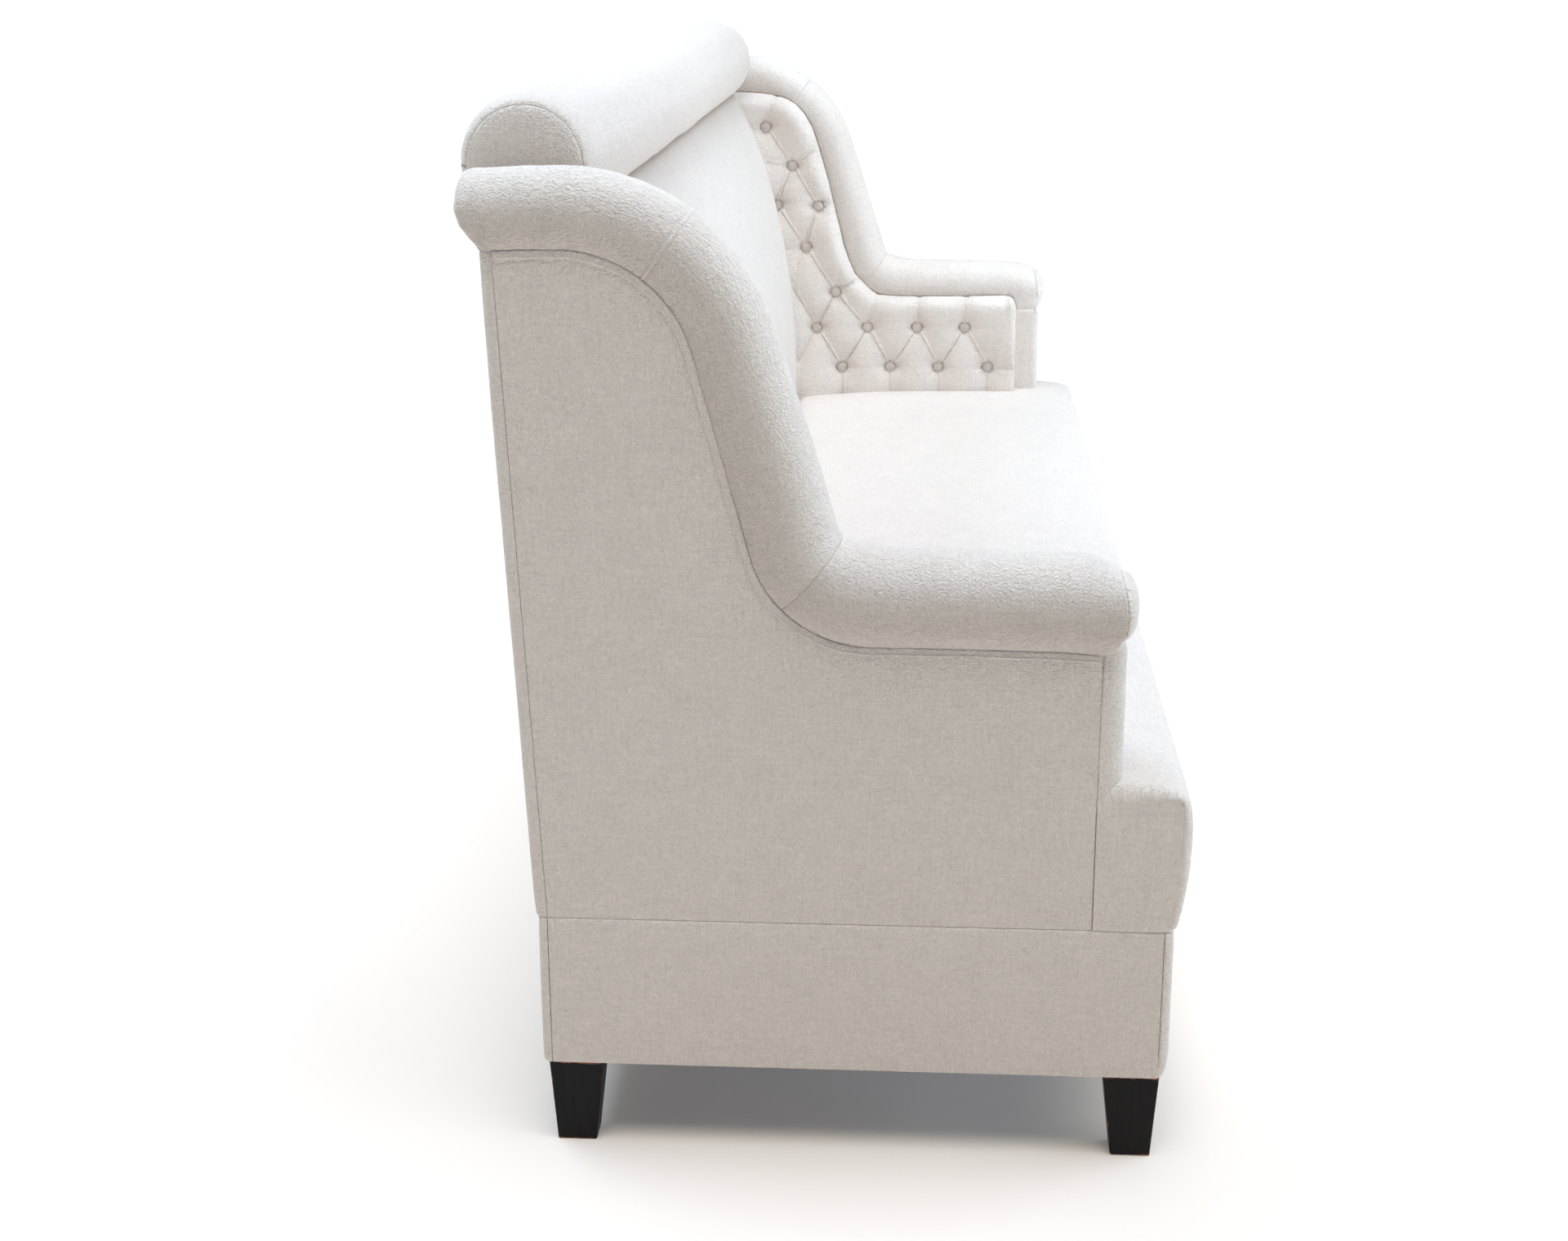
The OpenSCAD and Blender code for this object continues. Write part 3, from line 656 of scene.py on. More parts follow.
# ---------------------------------------------------------------- rolls
def roll(name, s0, s1, ends, cap_end, side, seed, nodes, faint=()):
    """ends: which ends are sewn seams. cap_end: 'back' or 'front' is shaped to its cap."""
    L = s1 - s0
    ss = s0 + spaced(L, 2.4, ends=ends)
    for sf in faint:
        ss = np.sort(np.concatenate([ss[np.abs(ss - sf) > 9.4], np.arange(sf - 9.0, sf + 9.01, 0.6)]))
    y, z, th = path(ss)
    R = roll_r(ss)
    a = np.sqrt(R ** 2 - IN ** 2)
    # section: outer seam, over the top, down the inner side, and back along the flat bottom
    edge = np.array([0.0, 0.004, 0.009, 0.016, 0.026, 0.04])
    top = np.concatenate([edge, np.linspace(0.052, 1, 104)])
    nS, nT, nB = len(ss), len(top), 10
    phi0 = -np.arctan2(a, IN)                               # at the outer seam
    X = np.zeros((nS, nT + nB))
    N = np.zeros_like(X)
    for i in range(nS):
        ph = phi0[i] + (math.pi + 0.0 - phi0[i]) * top      # to the innermost point
        X[i, :nT] = -W2 + IN - R[i] * np.cos(ph)
        N[i, :nT] = a[i] + R[i] * np.sin(ph)
        xi = -W2 + IN + R[i]
        # tucked under along the pad's edge; in front of the pad it goes on down the post
        q = float(np.interp(ss[i], *PAD_N))
        w = float(smooth01((-287.0 - y[i]) / 3.0))
        xt = np.array([xi, xi - 0.3, xi - 0.9, xi - 2.2, xi - 4.6, xi - 8, xi - 12, xi - 24, -W2 + 30, -W2 + 9])
        nt_ = np.array([max(a[i] - 6, q + 10), q + 8, q + 4.6, q + 2.0, q + 0.4, q - 0.4, q - 0.6, q - 2, 0.8, 0.8])
        xf = np.array([xi, xi, xi, xi, xi - 0.1, xi - 0.4, xi - 1.5, xi - 24, -W2 + 30, -W2 + 9])
        nf = np.array([a[i] - 6, 30, 22, 15, 10, 7, 5.6, 5, 0.8, 0.8])
        X[i, nT:] = xt * (1 - w) + xf * w
        N[i, nT:] = nt_ * (1 - w) + nf * w
    arc = np.zeros((nS, nT + nB))
    arc[:, :nT] = (R[:, None] * (math.pi - phi0[:, None])) * top[None, :]
    arc[:, nT:] = arc[:, nT - 1:nT] + np.array([6, 12, 17, 21, 24, 28, 32, 44, 70, 90])
    Y = y[:, None] - N * np.sin(th)[:, None]
    Z = z[:, None] + N * np.cos(th)[:, None]
    Z += arm_dip(Y)
    # radial direction in space
    rx = (X - (-W2 + IN)) / R[:, None]
    rn = (N - a[:, None]) / R[:, None]
    DX, DY, DZ = rx, -rn * np.sin(th)[:, None], rn * np.cos(th)[:, None]
    P = np.stack([X, Y, Z], -1).reshape(-1, 3)
    vis = np.zeros((nS, nT + nB))
    vis[:, :nT + 2] = 1
    vis[:, 0] = 0.15
    h = 0.75 * wavy(P, 95, seed, 2) + 0.42 * (crinkle(P, 8.5, seed + 3) - 0.45)
    h += 0.14 * wavy(P, 6.5, seed + 9, 2)
    # pull lines that run round the roll where it bends
    sv = np.repeat(ss[:, None], nT + nB, 1).ravel()
    bend = smooth01(1 - np.abs(sv - (S_SH + S_SL) / 2) / 170) * 0.30 + smooth01(1 - np.abs(sv - S_MITRE) / 90) * 0.55
    pl = vnoise(np.stack([sv / 9.0, arc.ravel() / 95.0, np.zeros_like(sv)], 1), seed + 4)
    h += bend * pl * 0.55
    h = h.reshape(nS, nT + nB) * vis
    # seams turn under
    dm = np.abs(ss - S_MITRE)[:, None] * np.clip(1 - N / HO_R, 0.2, 1)
    if abs(s0 - S_MITRE) > 1:
        h -= (roll_in_edge(ss - s0, 1.1) * 1.2)[:, None] * vis
    if abs(s1 - S_MITRE) > 1:
        h -= (roll_in_edge(s1 - ss, 1.1) * 1.2)[:, None] * vis
    h -= (1.25 * roll_in_edge(dm, 1.4) + 0.8 * np.exp(-dm / 6.0)) * vis
    for sf in faint:
        h += (1.35 * np.exp(-((ss - sf) / 1.05) ** 2) - 0.45 * np.exp(-((ss - sf + 2.8) / 1.6) ** 2) - 0.9 * np.exp(-((ss - sf - 2.6) / 1.5) ** 2))[:, None] * vis
    if cap_end:
        # small gathers where the end panel is sewn in
        de = (s1 - ss) if cap_end == "front" else (ss - s0)
        gather = np.sin(arc * (2 * math.pi / 6.3) + 1.3 * np.sin(arc / 23.0)) + 0.7 * vnoise(np.stack([arc.ravel() / 8.0, arc.ravel() * 0, arc.ravel() * 0 + seed], 1), 4).reshape(arc.shape)
        h += 0.20 * gather * np.exp(-de / 3.2)[:, None] * vis
        long = vnoise(np.stack([arc.ravel() / 5.2, sv / 60.0, sv * 0 + 2.0 * seed], 1), 6).reshape(arc.shape)
        h += 0.30 * long * (np.exp(-((de - 8) / 16.0) ** 2))[:, None] * vis
        drop = 16.0 * (1 - np.sqrt(np.maximum(0, 1 - np.clip(1 - de / 48.0, 0, 1) ** 2)))
        w = 0.20 + 0.80 * np.clip(0.75 * rn + 0.60 * rx + 0.15, 0, 1)
        if cap_end == "back":
            w, drop = 1 + 0 * w, 5.5 * (1 - np.sqrt(np.maximum(0, 1 - np.clip(1 - de / 15.0, 0, 1) ** 2)))
        h -= drop[:, None] * w * vis
    d_out = arc.copy()
    h -= roll_in_edge(d_out, 1.0) * (d_out < 1.0) * 0.8
    X, Y, Z = X + DX * h, Y + DY * h, Z + DZ * h
    # the arm's crest climbs to the foot of the wing, where the mitre's inner corner is
    near = np.where(ss < S_ARM, (HO_R - 102) * np.sin(np.clip(th, 0, rad(46))), S_ARM - ss)
    g = np.arange(-110.0, 70.0, 0.5)
    climb = np.convolve(np.interp(g, [-70, -43, -26, -10, 0, 9.8, 19, 27.3], [0, 0.2, 1.2, 3.4, 5.3, 6.7, 6.1, 4.2]), np.ones(17) / 17, "same")
    foot = np.clip((ss - S_HO) / (S_MITRE - S_HO), 0, 1) ** 1.5
    back_off = np.clip((S_ARM - ss) / (S_ARM - S_MITRE), 0, 1) ** 2
    high = np.clip(N / 100.0, 0, 1) ** 2
    wing = ss < S_MITRE + 0.01 if s0 < 100 else ss < 0
    Z = Z + high * np.where(wing, foot * float(np.interp(27.3, g, climb)), np.interp(np.minimum(near, 27.3), g, climb))[:, None]
    Y = Y + high * 5.0 * np.where(wing, foot, back_off)[:, None]
    # the sewn end at the front swings back under the roll to meet the upright seam
    if cap_end == "front":
        wgt = smooth01((ss - (s1 - 60)) / 60)[:, None]
        zz = Z - arm_dip(Y)
        off = np.interp(zz, [633, 640, 650, 665, 688, 715, 740], [24, 19, 10, 2.5, 0, 3.5, 10])
        outer = smooth01((-(X + W2 - IN)) / 25 + 0.5)
        off_in = np.interp(zz, [640, 650, 665, 688, 715, 740], [2, 1.5, 0.5, 0, 3.5, 10])
        Y = Y + wgt * (off * outer + off_in * (1 - outer))
    if cap_end == "back":
        wgt = smooth01(((s0 + 40) - ss) / 40)[:, None]
        Y = Y - wgt * np.interp(N, [0, 10, 25, 45, 90, 106], [23, 15, 6, 0, 1, 5])
    G = np.stack([X, Y, Z], -1)
    # each cloth's grain runs straight on to the mitre
    turn = np.where(ss > S_HO, th - (rad(SLANT) if s0 < 100 else 0.0), 0.0)[:, None]
    fab = np.stack([sv.reshape(X.shape) + N * turn, arc, np.full_like(X, 37.0 * seed)], -1)
    F = grid_faces(nS, nT + nB, wrap_v=True)
    # painted shade: the roll's sides and underside are darkened in colour
    painted_side_shade = 0.31 * smooth01((0.82 - rn) / 0.72)             # painted: the lamps here light the sides more than the photo's did
    me = mesh_data(name, flip_x(G) if side > 0 else G, F, fab=fab, extra={"shade": np.repeat(painted_side_shade[..., None], 3, -1)})
    close_open(me, None)
    return piece(name, me, M_LINEN_ROLL, nodes), G[:, :nT]


def fan_cap(name, ring, centre, bulge, seed, side, nodes, mat=None, rings=26, axis=1, base=None, tuck=7.0):
    """A sewn end panel: ring (n,3) is its seam, closed; it swells along axis by bulge towards centre."""
    ring = np.asarray(ring, float)
    n = len(ring)
    c = np.asarray(centre, float)
    t = np.concatenate([[1.0, 0.994, 0.985, 0.97, 0.95, 0.92], np.linspace(0.88, 0.0, rings)])
    rr = np.linalg.norm(ring - c, axis=1).mean()
    V = np.zeros((len(t) - 1, n, 3))
    cap_y = c[axis]
    for k, q in enumerate(t[:-1]):
        P = c + (ring - c) * q
        edge_y = ring[:, axis]
        swell = np.sqrt(max(0.0, 1 - q ** 2.6))
        if base is None:
            P[:, axis] = edge_y + (cap_y - edge_y) * swell
        else:
            P[:, axis] = edge_y * q ** 30 + base(P[:, 2]) * (1 - q ** 30) + bulge * swell
        V[k] = P
    flat = V.reshape(-1, 3)
    dirn = np.sign(bulge)
    hh = 0.18 * (crinkle(flat, 15.0, seed) - 0.45) + 0.5 * wavy(flat, 60, seed + 2)
    q = np.repeat(t[:-1], n)
    hh *= smooth01((1 - q) * 12)
    flat[:, axis] += dirn * hh
    V = flat.reshape(V.shape)
    nv = len(t) - 1
    F = grid_faces(nv, n, wrap_v=True)
    if base is not None:
        c[axis] = V[-1][:, axis].mean()
    pts = np.concatenate([V.reshape(-1, 3), c[None, :]])
    last = (nv - 1) * n
    tri = np.array([[last + k, last + (k + 1) % n, nv * n] for k in range(n)])
    if axis == 1:
        fab = np.stack([pts[:, 0], pts[:, 2], np.full(len(pts), seed * 13.0)], 1)
    else:
        fab = np.stack([pts[:, 1], pts[:, 2], np.full(len(pts), seed * 13.0)], 1)
    me = mesh_data(name, flip_x(pts) if side > 0 else pts, F, tri, fab=fab)

    def back(p):
        p = list(p)
        p[axis] -= dirn * tuck
        return p
    close_open(me, back)
    return piece(name, me, mat or M_LINEN, nodes)


def stitched_ring(name, ring, side, inner, length=2.6, gap=2.2, r=0.55, lift=(0, 0, 0)):
    """Short stitches laid along a closed or open seam line."""
    P, s = resample(ring, step=0.8)
    V, F = [], []
    pos = 0.6
    total = s[-1]
    c = np.asarray(inner, float)
    while pos + length < total:
        a = np.array([np.interp(pos, s, P[:, k]) for k in range(3)])
        b = np.array([np.interp(pos + length, s, P[:, k]) for k in range(3)])
        d = (b - a) / np.linalg.norm(b - a)
        out = (a + b) / 2 - c
        out -= d * (out @ d)
        out /= np.linalg.norm(out)
        w = np.cross(d, out)
        base = len(V)
        for q, rr, hh in ((0, 0.25, -0.35), (0.25, 0.85, 0.05), (0.5, 1.0, 0.18), (0.75, 0.85, 0.05), (1, 0.25, -0.35)):
            m = a + (b - a) * q + out * hh + np.asarray(lift, float)
            for k in range(6):
                an = k * math.pi / 3
                V.append(m + rr * r * (w * math.cos(an) + out * math.sin(an)))
        for q in range(4):
            for k in range(6):
                F.append([base + q * 6 + k, base + q * 6 + (k + 1) % 6, base + (q + 1) * 6 + (k + 1) % 6, base + (q + 1) * 6 + k])
        F.append([base + 0, base + 5, base + 4, base + 3])
        F.append([base + 3, base + 2, base + 1, base + 0])
        e = base + 24
        F.append([e + 0, e + 1, e + 2, e + 3])
        F.append([e + 3, e + 4, e + 5, e + 0])
        pos += length + gap
    V = np.array(V)
    return V, np.array(F)


S_END = S_ARM + (ho_y + 333.0)       # the arm roll's sewn front end
S_FRONT = S_ARM + (ho_y + 307.0)     # the upright front seam
for side, tag in ((-1, "left"), (1, "right")):
    sd = 3 if side < 0 else 21
    y200 = S_SH + SH_R * math.asin((sh_y - 200.0) / SH_R)
    wing, GW = roll("wing_roll_" + tag, 5.2, S_MITRE, (True, True), "back", side, sd, ["wing_roll_" + tag], faint=(y200,))
    arm, GA = roll("arm_roll_" + tag, S_MITRE, S_END, (True, True), "front", side, sd + 40, ["arm_roll_" + tag])
    # back cap of the wing roll
    ring = GW[0].copy()
    zb = ring[:, 2]
    xi = ring[-1, 0]
    low = np.stack([np.linspace(xi, xi - 2, 4), np.full(4, ring[-1, 1]), np.linspace(ring[-1, 2] - 14, 1080.5, 4)], 1)
    low2 = np.stack([np.linspace(xi - 12, -W2 + 8, 9), np.linspace(ring[-1, 1], ring[0, 1], 9), np.full(9, 1080.0)], 1)
    ring = np.concatenate([ring, low, low2])
    ring[:, 1] -= 0.5
    prof_b = GW[0][GW[0][:, 0] < -W2 + IN]
    prof_b = prof_b[np.argsort(prof_b[:, 2])]
    fan_cap("wing_cap_" + tag, ring[::-1], (-W2 + IN, 402.6, SEAM_W + 33), 6.2, sd + 5, side, ["wing_cap_" + tag],
            base=lambda z, q=prof_b: np.interp(z, q[:, 2], q[:, 1]))
    if side < 0:
        RING_LEFT_FRONT = GA[-1].copy()
    SIDE_END = GA[-1].copy()

# ---------------------------------------------------------------- post facing and arm cap, one cloth
def front_cloth(name, end_curve, side, seed, nodes):
    """end_curve: the arm roll's sewn end, from the outer seam over the top to the innermost point."""
    top_i = int(np.argmax(end_curve[:, 2]))
    outer, inner = end_curve[:top_i + 1], end_curve[top_i:]
    ztop = end_curve[top_i, 2]
    zs = np.concatenate([np.linspace(446, 630, 62), np.linspace(632.5, 662, 18), np.linspace(664, ztop - 5.5, 36), ztop - np.array([4, 2.8, 1.8, 1.0, 0.45, 0.15])])
    nu = 110
    rows = []
    for z in zs:
        # the post's section
        ya = np.interp(z, [446, 560, 633], [-307.0, -306.5, -309.0])
        pts = [(-W2 + 0.3, ya)]
        fy = -336.5
        for t in np.linspace(0, 90, 11):
            pts.append((-W2 + 28 - 27.7 * math.cos(rad(t)), ya + (fy - ya) * math.sin(rad(t))))
        pts += [(-W2 + 60, fy - 0.6), (-W2 + 92, fy)]
        for t in np.linspace(90, 0, 7):
            pts.append((-W2 + 91 + 13.0 * math.cos(rad(t)), fy + 12 - 12 * math.sin(rad(t))))
        pts += [(-W2 + 104, -306), (-W2 + 103.5, -284)]
        post, _ = resample(np.array(pts), n=nu)
        if z <= 630:
            rows.append(np.column_stack([post, np.full(nu, z)]))
            continue
        # the cap's section
        zz = min(z, ztop - 0.05)
        o = np.array([np.interp(zz, outer[:, 2], outer[:, k]) for k in (0, 1)])
        ii = inner[::-1]
        if zz >= ii[0, 2]:
            i2 = np.array([np.interp(zz, ii[:, 2], ii[:, k]) for k in (0, 1)])
        else:
            i2 = np.array([ii[0, 0], ii[0, 1] + (ii[0, 2] - zz) * 0.1])
        u = np.linspace(0, 1, nu)
        cz = 684.0
        half = math.sqrt(max(0.0, 1 - min(1.0, ((zz - cz) / (ztop + 0.3 - cz)) ** 2)))
        w = 0.5 - 0.5 * np.cos(u * math.pi)
        x = o[0] + (i2[0] - o[0]) * w
        base = o[1] + (i2[1] - o[1]) * w
        q = np.abs(2 * w - 1)
        yy = base + (-347.5 - base) * half * np.sqrt(np.maximum(0, 1 - q ** 2.4))
        cap = np.column_stack([x, yy])
        ub = smooth01((u - 0.62) / 0.14)
        m = (float(smooth01((z - 631) / 27.0)) * (1 - ub) + float(smooth01((z - 645) / 14.0)) * ub)[:, None]
        rows.append(np.column_stack([post * (1 - m) + cap * m, np.full(nu, min(z, ztop - 0.02))]))
    G = np.array(rows)
    G[..., 2] += np.interp(G[..., 2], [560, 640], [0, 0])
    P = G.reshape(-1, 3)
    du = np.gradient(G, axis=1)
    dv = np.gradient(G, axis=0)
    nrm = np.cross(dv, du)
    nrm /= np.maximum(1e-9, np.linalg.norm(nrm, axis=-1, keepdims=True))
    arc = np.concatenate([np.zeros((len(zs), 1)), np.cumsum(np.linalg.norm(np.diff(G, axis=1), axis=-1), 1)], 1)
    tot = arc[:, -1:]
    e = np.minimum(arc, tot - arc)
    h = (0.30 * (crinkle(P, 15.0, seed) - 0.45) + 0.55 * wavy(P, 55, seed + 2)).reshape(arc.shape)
    h *= smooth01(e / 10)
    h -= roll_in_edge(e, 1.3) * 2.0
    # gathers beside the seam round the cap
    gz = G[..., 2]
    ang = np.arctan2(gz - 684, G[..., 0] + W2 - IN)
    g = vnoise(np.stack([ang.ravel() * 7.0, np.zeros(ang.size), np.full(ang.size, 3.0)], 1), seed + 8).reshape(ang.shape)
    h += 0.7 * g * np.exp(-((e - 5) / 6.0) ** 2) * smooth01((gz - 655) / 20)
    # two small ridges across the inner side, where the arm's cloth is sewn to the post's
    inner_side = smooth01((G[..., 0] + W2 - 92) / 6)
    h += inner_side * (0.9 * np.exp(-((gz - 650) / 1.3) ** 2) + 0.6 * np.exp(-((gz - 640.5) / 1.6) ** 2) - 0.5 * np.exp(-((gz - 646.5) / 1.5) ** 2))
    G = G + nrm * h[..., None] * (-1 if np.mean(nrm[20:40, 40:50, 1]) > 0 else 1)
    fab = np.stack([arc, G[..., 2], np.full_like(arc, seed * 11.0)], -1)
    me = mesh_data(name, flip_x(G) if side > 0 else G, grid_faces(*arc.shape), fab=fab)

    def back(p):
        return [p[0] + (2.0 if (p[0] < -W2 + 50 and p[0] < 0) else 0) - (2.0 if p[0] > W2 - 50 else 0), max(p[1] + 5.0, -300.0) if p[2] < 640 else p[1] + 6.0, p[2]]
    close_open(me, back)
    return piece(name, me, M_LINEN, nodes)


for side, tag in ((-1, "left"), (1, "right")):
    o = front_cloth("post_facing_" + tag, SIDE_END if False else RING_LEFT_FRONT, side, 61 if side < 0 else 77, ["post_facing_" + tag, "arm_cap_" + tag])

# ---------------------------------------------------------------- side panels
def side_panel(name, side, seed, nodes):
    line, _ = seam_line(-0.4)
    line = line[np.argsort(line[:, 0])]
    y0 = -307.0
    y1t = back_y(SEAM_W)
    line = line[(line[:, 0] > y0 + 0.5)]
    cols = spaced(1.0 * (y1t - y0), 6.0)
    zb = 298.4
    verts = []
    ny = len(cols)
    # rows by distance from the bottom and from the top
    rows_ref = spaced(340.0, 6.0)
    nz = len(rows_ref)
    G = np.zeros((ny, nz, 3))
    for i, c in enumerate(cols):
        f = c / (y1t - y0)
        yt = y0 + c                                   # y at the top of this column
        # the back edge leans, the front edge has the slightest curve
        zt = np.interp(yt, line[:, 0], line[:, 1])
        h = zt - zb
        e = rows_ref.copy()
        half = 170.0
        zrow = np.where(rows_ref <= half, rows_ref, h - (340.0 - rows_ref))
        mid = (rows_ref > 7.01) & (rows_ref < 340 - 7.01)
        zrow[mid] = 7.0 + (rows_ref[mid] - 7.0) / (340 - 14.0) * (h - 14.0)
        zr = zb + zrow
        yb = y0 + f * (back_y(zb) - y0)
        # follow the leaning back edge only near the back
        lean = smooth01((f - 0.55) / 0.45)
        yr = yt - lean * (back_y(SEAM_W) - np.array([back_y(q) for q in zr])) * smooth01((SEAM_W + 5 - zr) / 40)
        G[i, :, 1] = yr
        G[i, :, 2] = zr
    P2 = G[..., 1:].reshape(-1, 2)
    d_top = line_dist(P2, line)
    d_bot = P2[:, 1] - zb
    d_fr = P2[:, 0] - y0
    d_bk = np.array([back_y(q) for q in P2[:, 1]]) - P2[:, 0]
    d_bk = np.maximum(d_bk, 0)
    e = np.minimum(np.minimum(d_bot, d_fr), np.minimum(d_bk, d_top))
    P3 = np.column_stack([np.full(len(P2), -W2), P2])
    inset = roll_in_edge(d_bot, 1.2) * 1.0 + roll_in_edge(d_bk, 0.8) * 0.9 + roll_in_edge(d_fr, 1.0) * 2.0 + 0.45 * np.exp(-np.minimum(d_bot, d_fr) / 8)
    puff = 1.0 * (1 - np.exp(-e / 30)) - 0.55 * wavy(P3, 210, seed, 2) - 0.10 * wavy(P3, 26, seed + 3, 2)
    G[..., 0] = (-W2 + inset - puff * smooth01(e / 10)).reshape(ny, nz)
    fab = np.stack([G[..., 1], G[..., 2], np.full(G.shape[:2], seed * 7.0)], -1)
    me = mesh_data(name, flip_x(G) if side > 0 else G, grid_faces(ny, nz), fab=fab)
    sx = 1 if side > 0 else -1

    def back(p):
        return [sx * (W2 - 7.0), p[1], p[2]]
    close_open(me, back)
    return piece(name, me, M_LINEN, nodes)


for side, tag in ((-1, "left"), (1, "right")):
    o = side_panel("side_panel_" + tag, side, 5 if side < 0 else 9, ["side_panel_" + tag])


# the narrow turned strip under the roll, with its folded lower edge
def welt(name, side, seed, nodes):
    s_back = 402 - (back_y(SEAM_W) - 1.5)
    ss = np.arange(s_back, S_FRONT - 0.8, 4.0)
    sec = np.array([(-0.35, -1.2), (-0.4, 0.35), (-0.9, 0.85), (-2.6, 1.1), (-4.6, 1.15), (-6.0, 1.25), (-6.6, 1.6), (-7.1, 2.3), (-7.7, 2.5), (-8.3, 2.2), (-8.7, 1.3), (-8.8, 0.1), (-8.8, -1.5)])
    y, z, th = path(ss)
    G = np.zeros((len(ss), len(sec), 3))
    for k, (n, pr) in enumerate(sec):
        wob = 0.35 * vnoise(np.stack([ss / 38.0, np.zeros_like(ss), np.zeros_like(ss)], 1), seed)
        yy, zz = y - (n + wob) * np.sin(th), z + (n + wob) * np.cos(th)
        G[:, k, 0] = -W2 - pr - (0.5 if 0 < k < len(sec) - 1 else 0)
        G[:, k, 1] = yy
        G[:, k, 2] = zz + arm_dip(yy)
    P = G.reshape(-1, 3)
    G[..., 0] -= (0.12 * wavy(P, 9, seed + 2)).reshape(G.shape[:2]) * (np.arange(len(sec)) > 0) * (np.arange(len(sec)) < len(sec) - 1)
    arc = np.concatenate([[0], np.cumsum(np.linalg.norm(np.diff(sec, axis=0), axis=1))])
    fab = np.stack([np.repeat(ss[:, None], len(sec), 1), np.repeat(arc[None, :], len(ss), 0), np.full(G.shape[:2], 90.0 + seed)], -1)
    me = mesh_data(name, flip_x(G) if side > 0 else G, grid_faces(len(ss), len(sec), wrap_v=True), fab=fab)
    close_open(me, None)
    return piece(name, me, M_LINEN, nodes)


for side, tag in ((-1, "left"), (1, "right")):
    welt("roll_welt_" + tag, side, 3 if side < 0 else 8, ["roll_welt_" + tag])


# ---------------------------------------------------------------- tufted inner pads
BUTTONS = [(-232, 524), (-128, 524), (-26, 524), (76, 523),
           (-182, 608), (-82, 608), (23, 608), (130, 606),
           (90, 682), (153, 776), (127, 861), (181, 944), (236, 1022), (213, 863)]
# pleats between buttons, then out to the edges: (from, to, depth in the middle or at the far end)
PLEATS = [(0, 4), (4, 1), (1, 5), (5, 2), (2, 6), (6, 3), (3, 7), (6, 8), (7, 8), (8, 9), (9, 10), (10, 11), (11, 12), (9, 13), (11, 13)]
OUT = [(0, (-232, 440)), (1, (-130, 440)), (2, (-29, 440)), (3, (74, 440)), (4, (-184, 676)), (5, (-86, 674)),
       (6, (2, 679)), (7, (180, 690)), (7, (172, 535)), (8, (40, 711)), (9, (215, 772)), (9, (185, 700)), (10, (98, 872)), (11, (128, 979)), (11, (232, 950)),
       (12, (214, 1087)), (12, (280, 1018)), (0, (-289, 522))]


def tuft_height(nstep=2.5):
    """The pad's surface as a stretched cover over foam, held down at the buttons and pleats: solved on a grid."""
    ys = np.arange(-292, 302, nstep)
    zs = np.arange(430, 1100, nstep)
    Yg, Zg = np.meshgrid(ys, zs, indexing="ij")
    p = np.stack([Yg.ravel(), Zg.ravel()], 1)
    fixed = np.zeros(len(p), bool)
    val = np.zeros(len(p))

    def pin(mask, v):
        v = np.broadcast_to(v, mask.shape)
        new = mask & (~fixed | (v < val))
        val[new] = v[new]
        fixed[mask] = True
    for a, b in PLEATS:
        d, t, _ = seg_dist(p, BUTTONS[a], BUTTONS[b])
        pin(d < nstep * 0.62, -(4.6 + 11.4 * np.abs(2 * t - 1) ** 1.9))
    for a, q in OUT:
        d, t, _ = seg_dist(p, BUTTONS[a], q)
        pin(d < nstep * 0.62, -(2.4 + 13.6 * (1 - t) ** 2.0))
    for y, z in BUTTONS:
        r = np.hypot(p[:, 0] - y, p[:, 1] - z)
        pin(r < 11.5, -17.5)
    k = 1.0 / 36.0 ** 2
    target = 21.0
    # relax (k - laplacian) h = k * target with the pinned places held, by conjugate gradients
    shape = Yg.shape
    fx = fixed.reshape(shape)
    h = np.full(shape, target)
    h[fx] = val.reshape(shape)[fx]
    inv = 1.0 / nstep ** 2

    def lap(u):
        q = np.pad(u, 1, mode="edge")
        return (q[2:, 1:-1] + q[:-2, 1:-1] + q[1:-1, 2:] + q[1:-1, :-2] - 4 * u) * inv
    free = ~fx
    r = np.where(free, k * (target - h) + lap(h), 0.0)
    d = r.copy()
    rs = (r * r).sum()
    for _ in range(400):
        Ad = np.where(free, k * d - lap(d), 0.0)
        al = rs / (d * Ad).sum()
        h += al * d
        r -= al * Ad
        rn = (r * r).sum()
        if rn < 1e-10:
            break
        d = r + rn / rs * d
        rs = rn
    return ys, zs, h


def sample(ys, zs, h, Y, Z):
    fy = np.clip((Y - ys[0]) / (ys[1] - ys[0]), 0, len(ys) - 1.001)
    fz = np.clip((Z - zs[0]) / (zs[1] - zs[0]), 0, len(zs) - 1.001)
    i, j = fy.astype(int), fz.astype(int)
    u, v = fy - i, fz - j
    return (h[i, j] * (1 - u) * (1 - v) + h[i + 1, j] * u * (1 - v) + h[i, j + 1] * (1 - u) * v + h[i + 1, j + 1] * u * v)


TUFT = tuft_height()


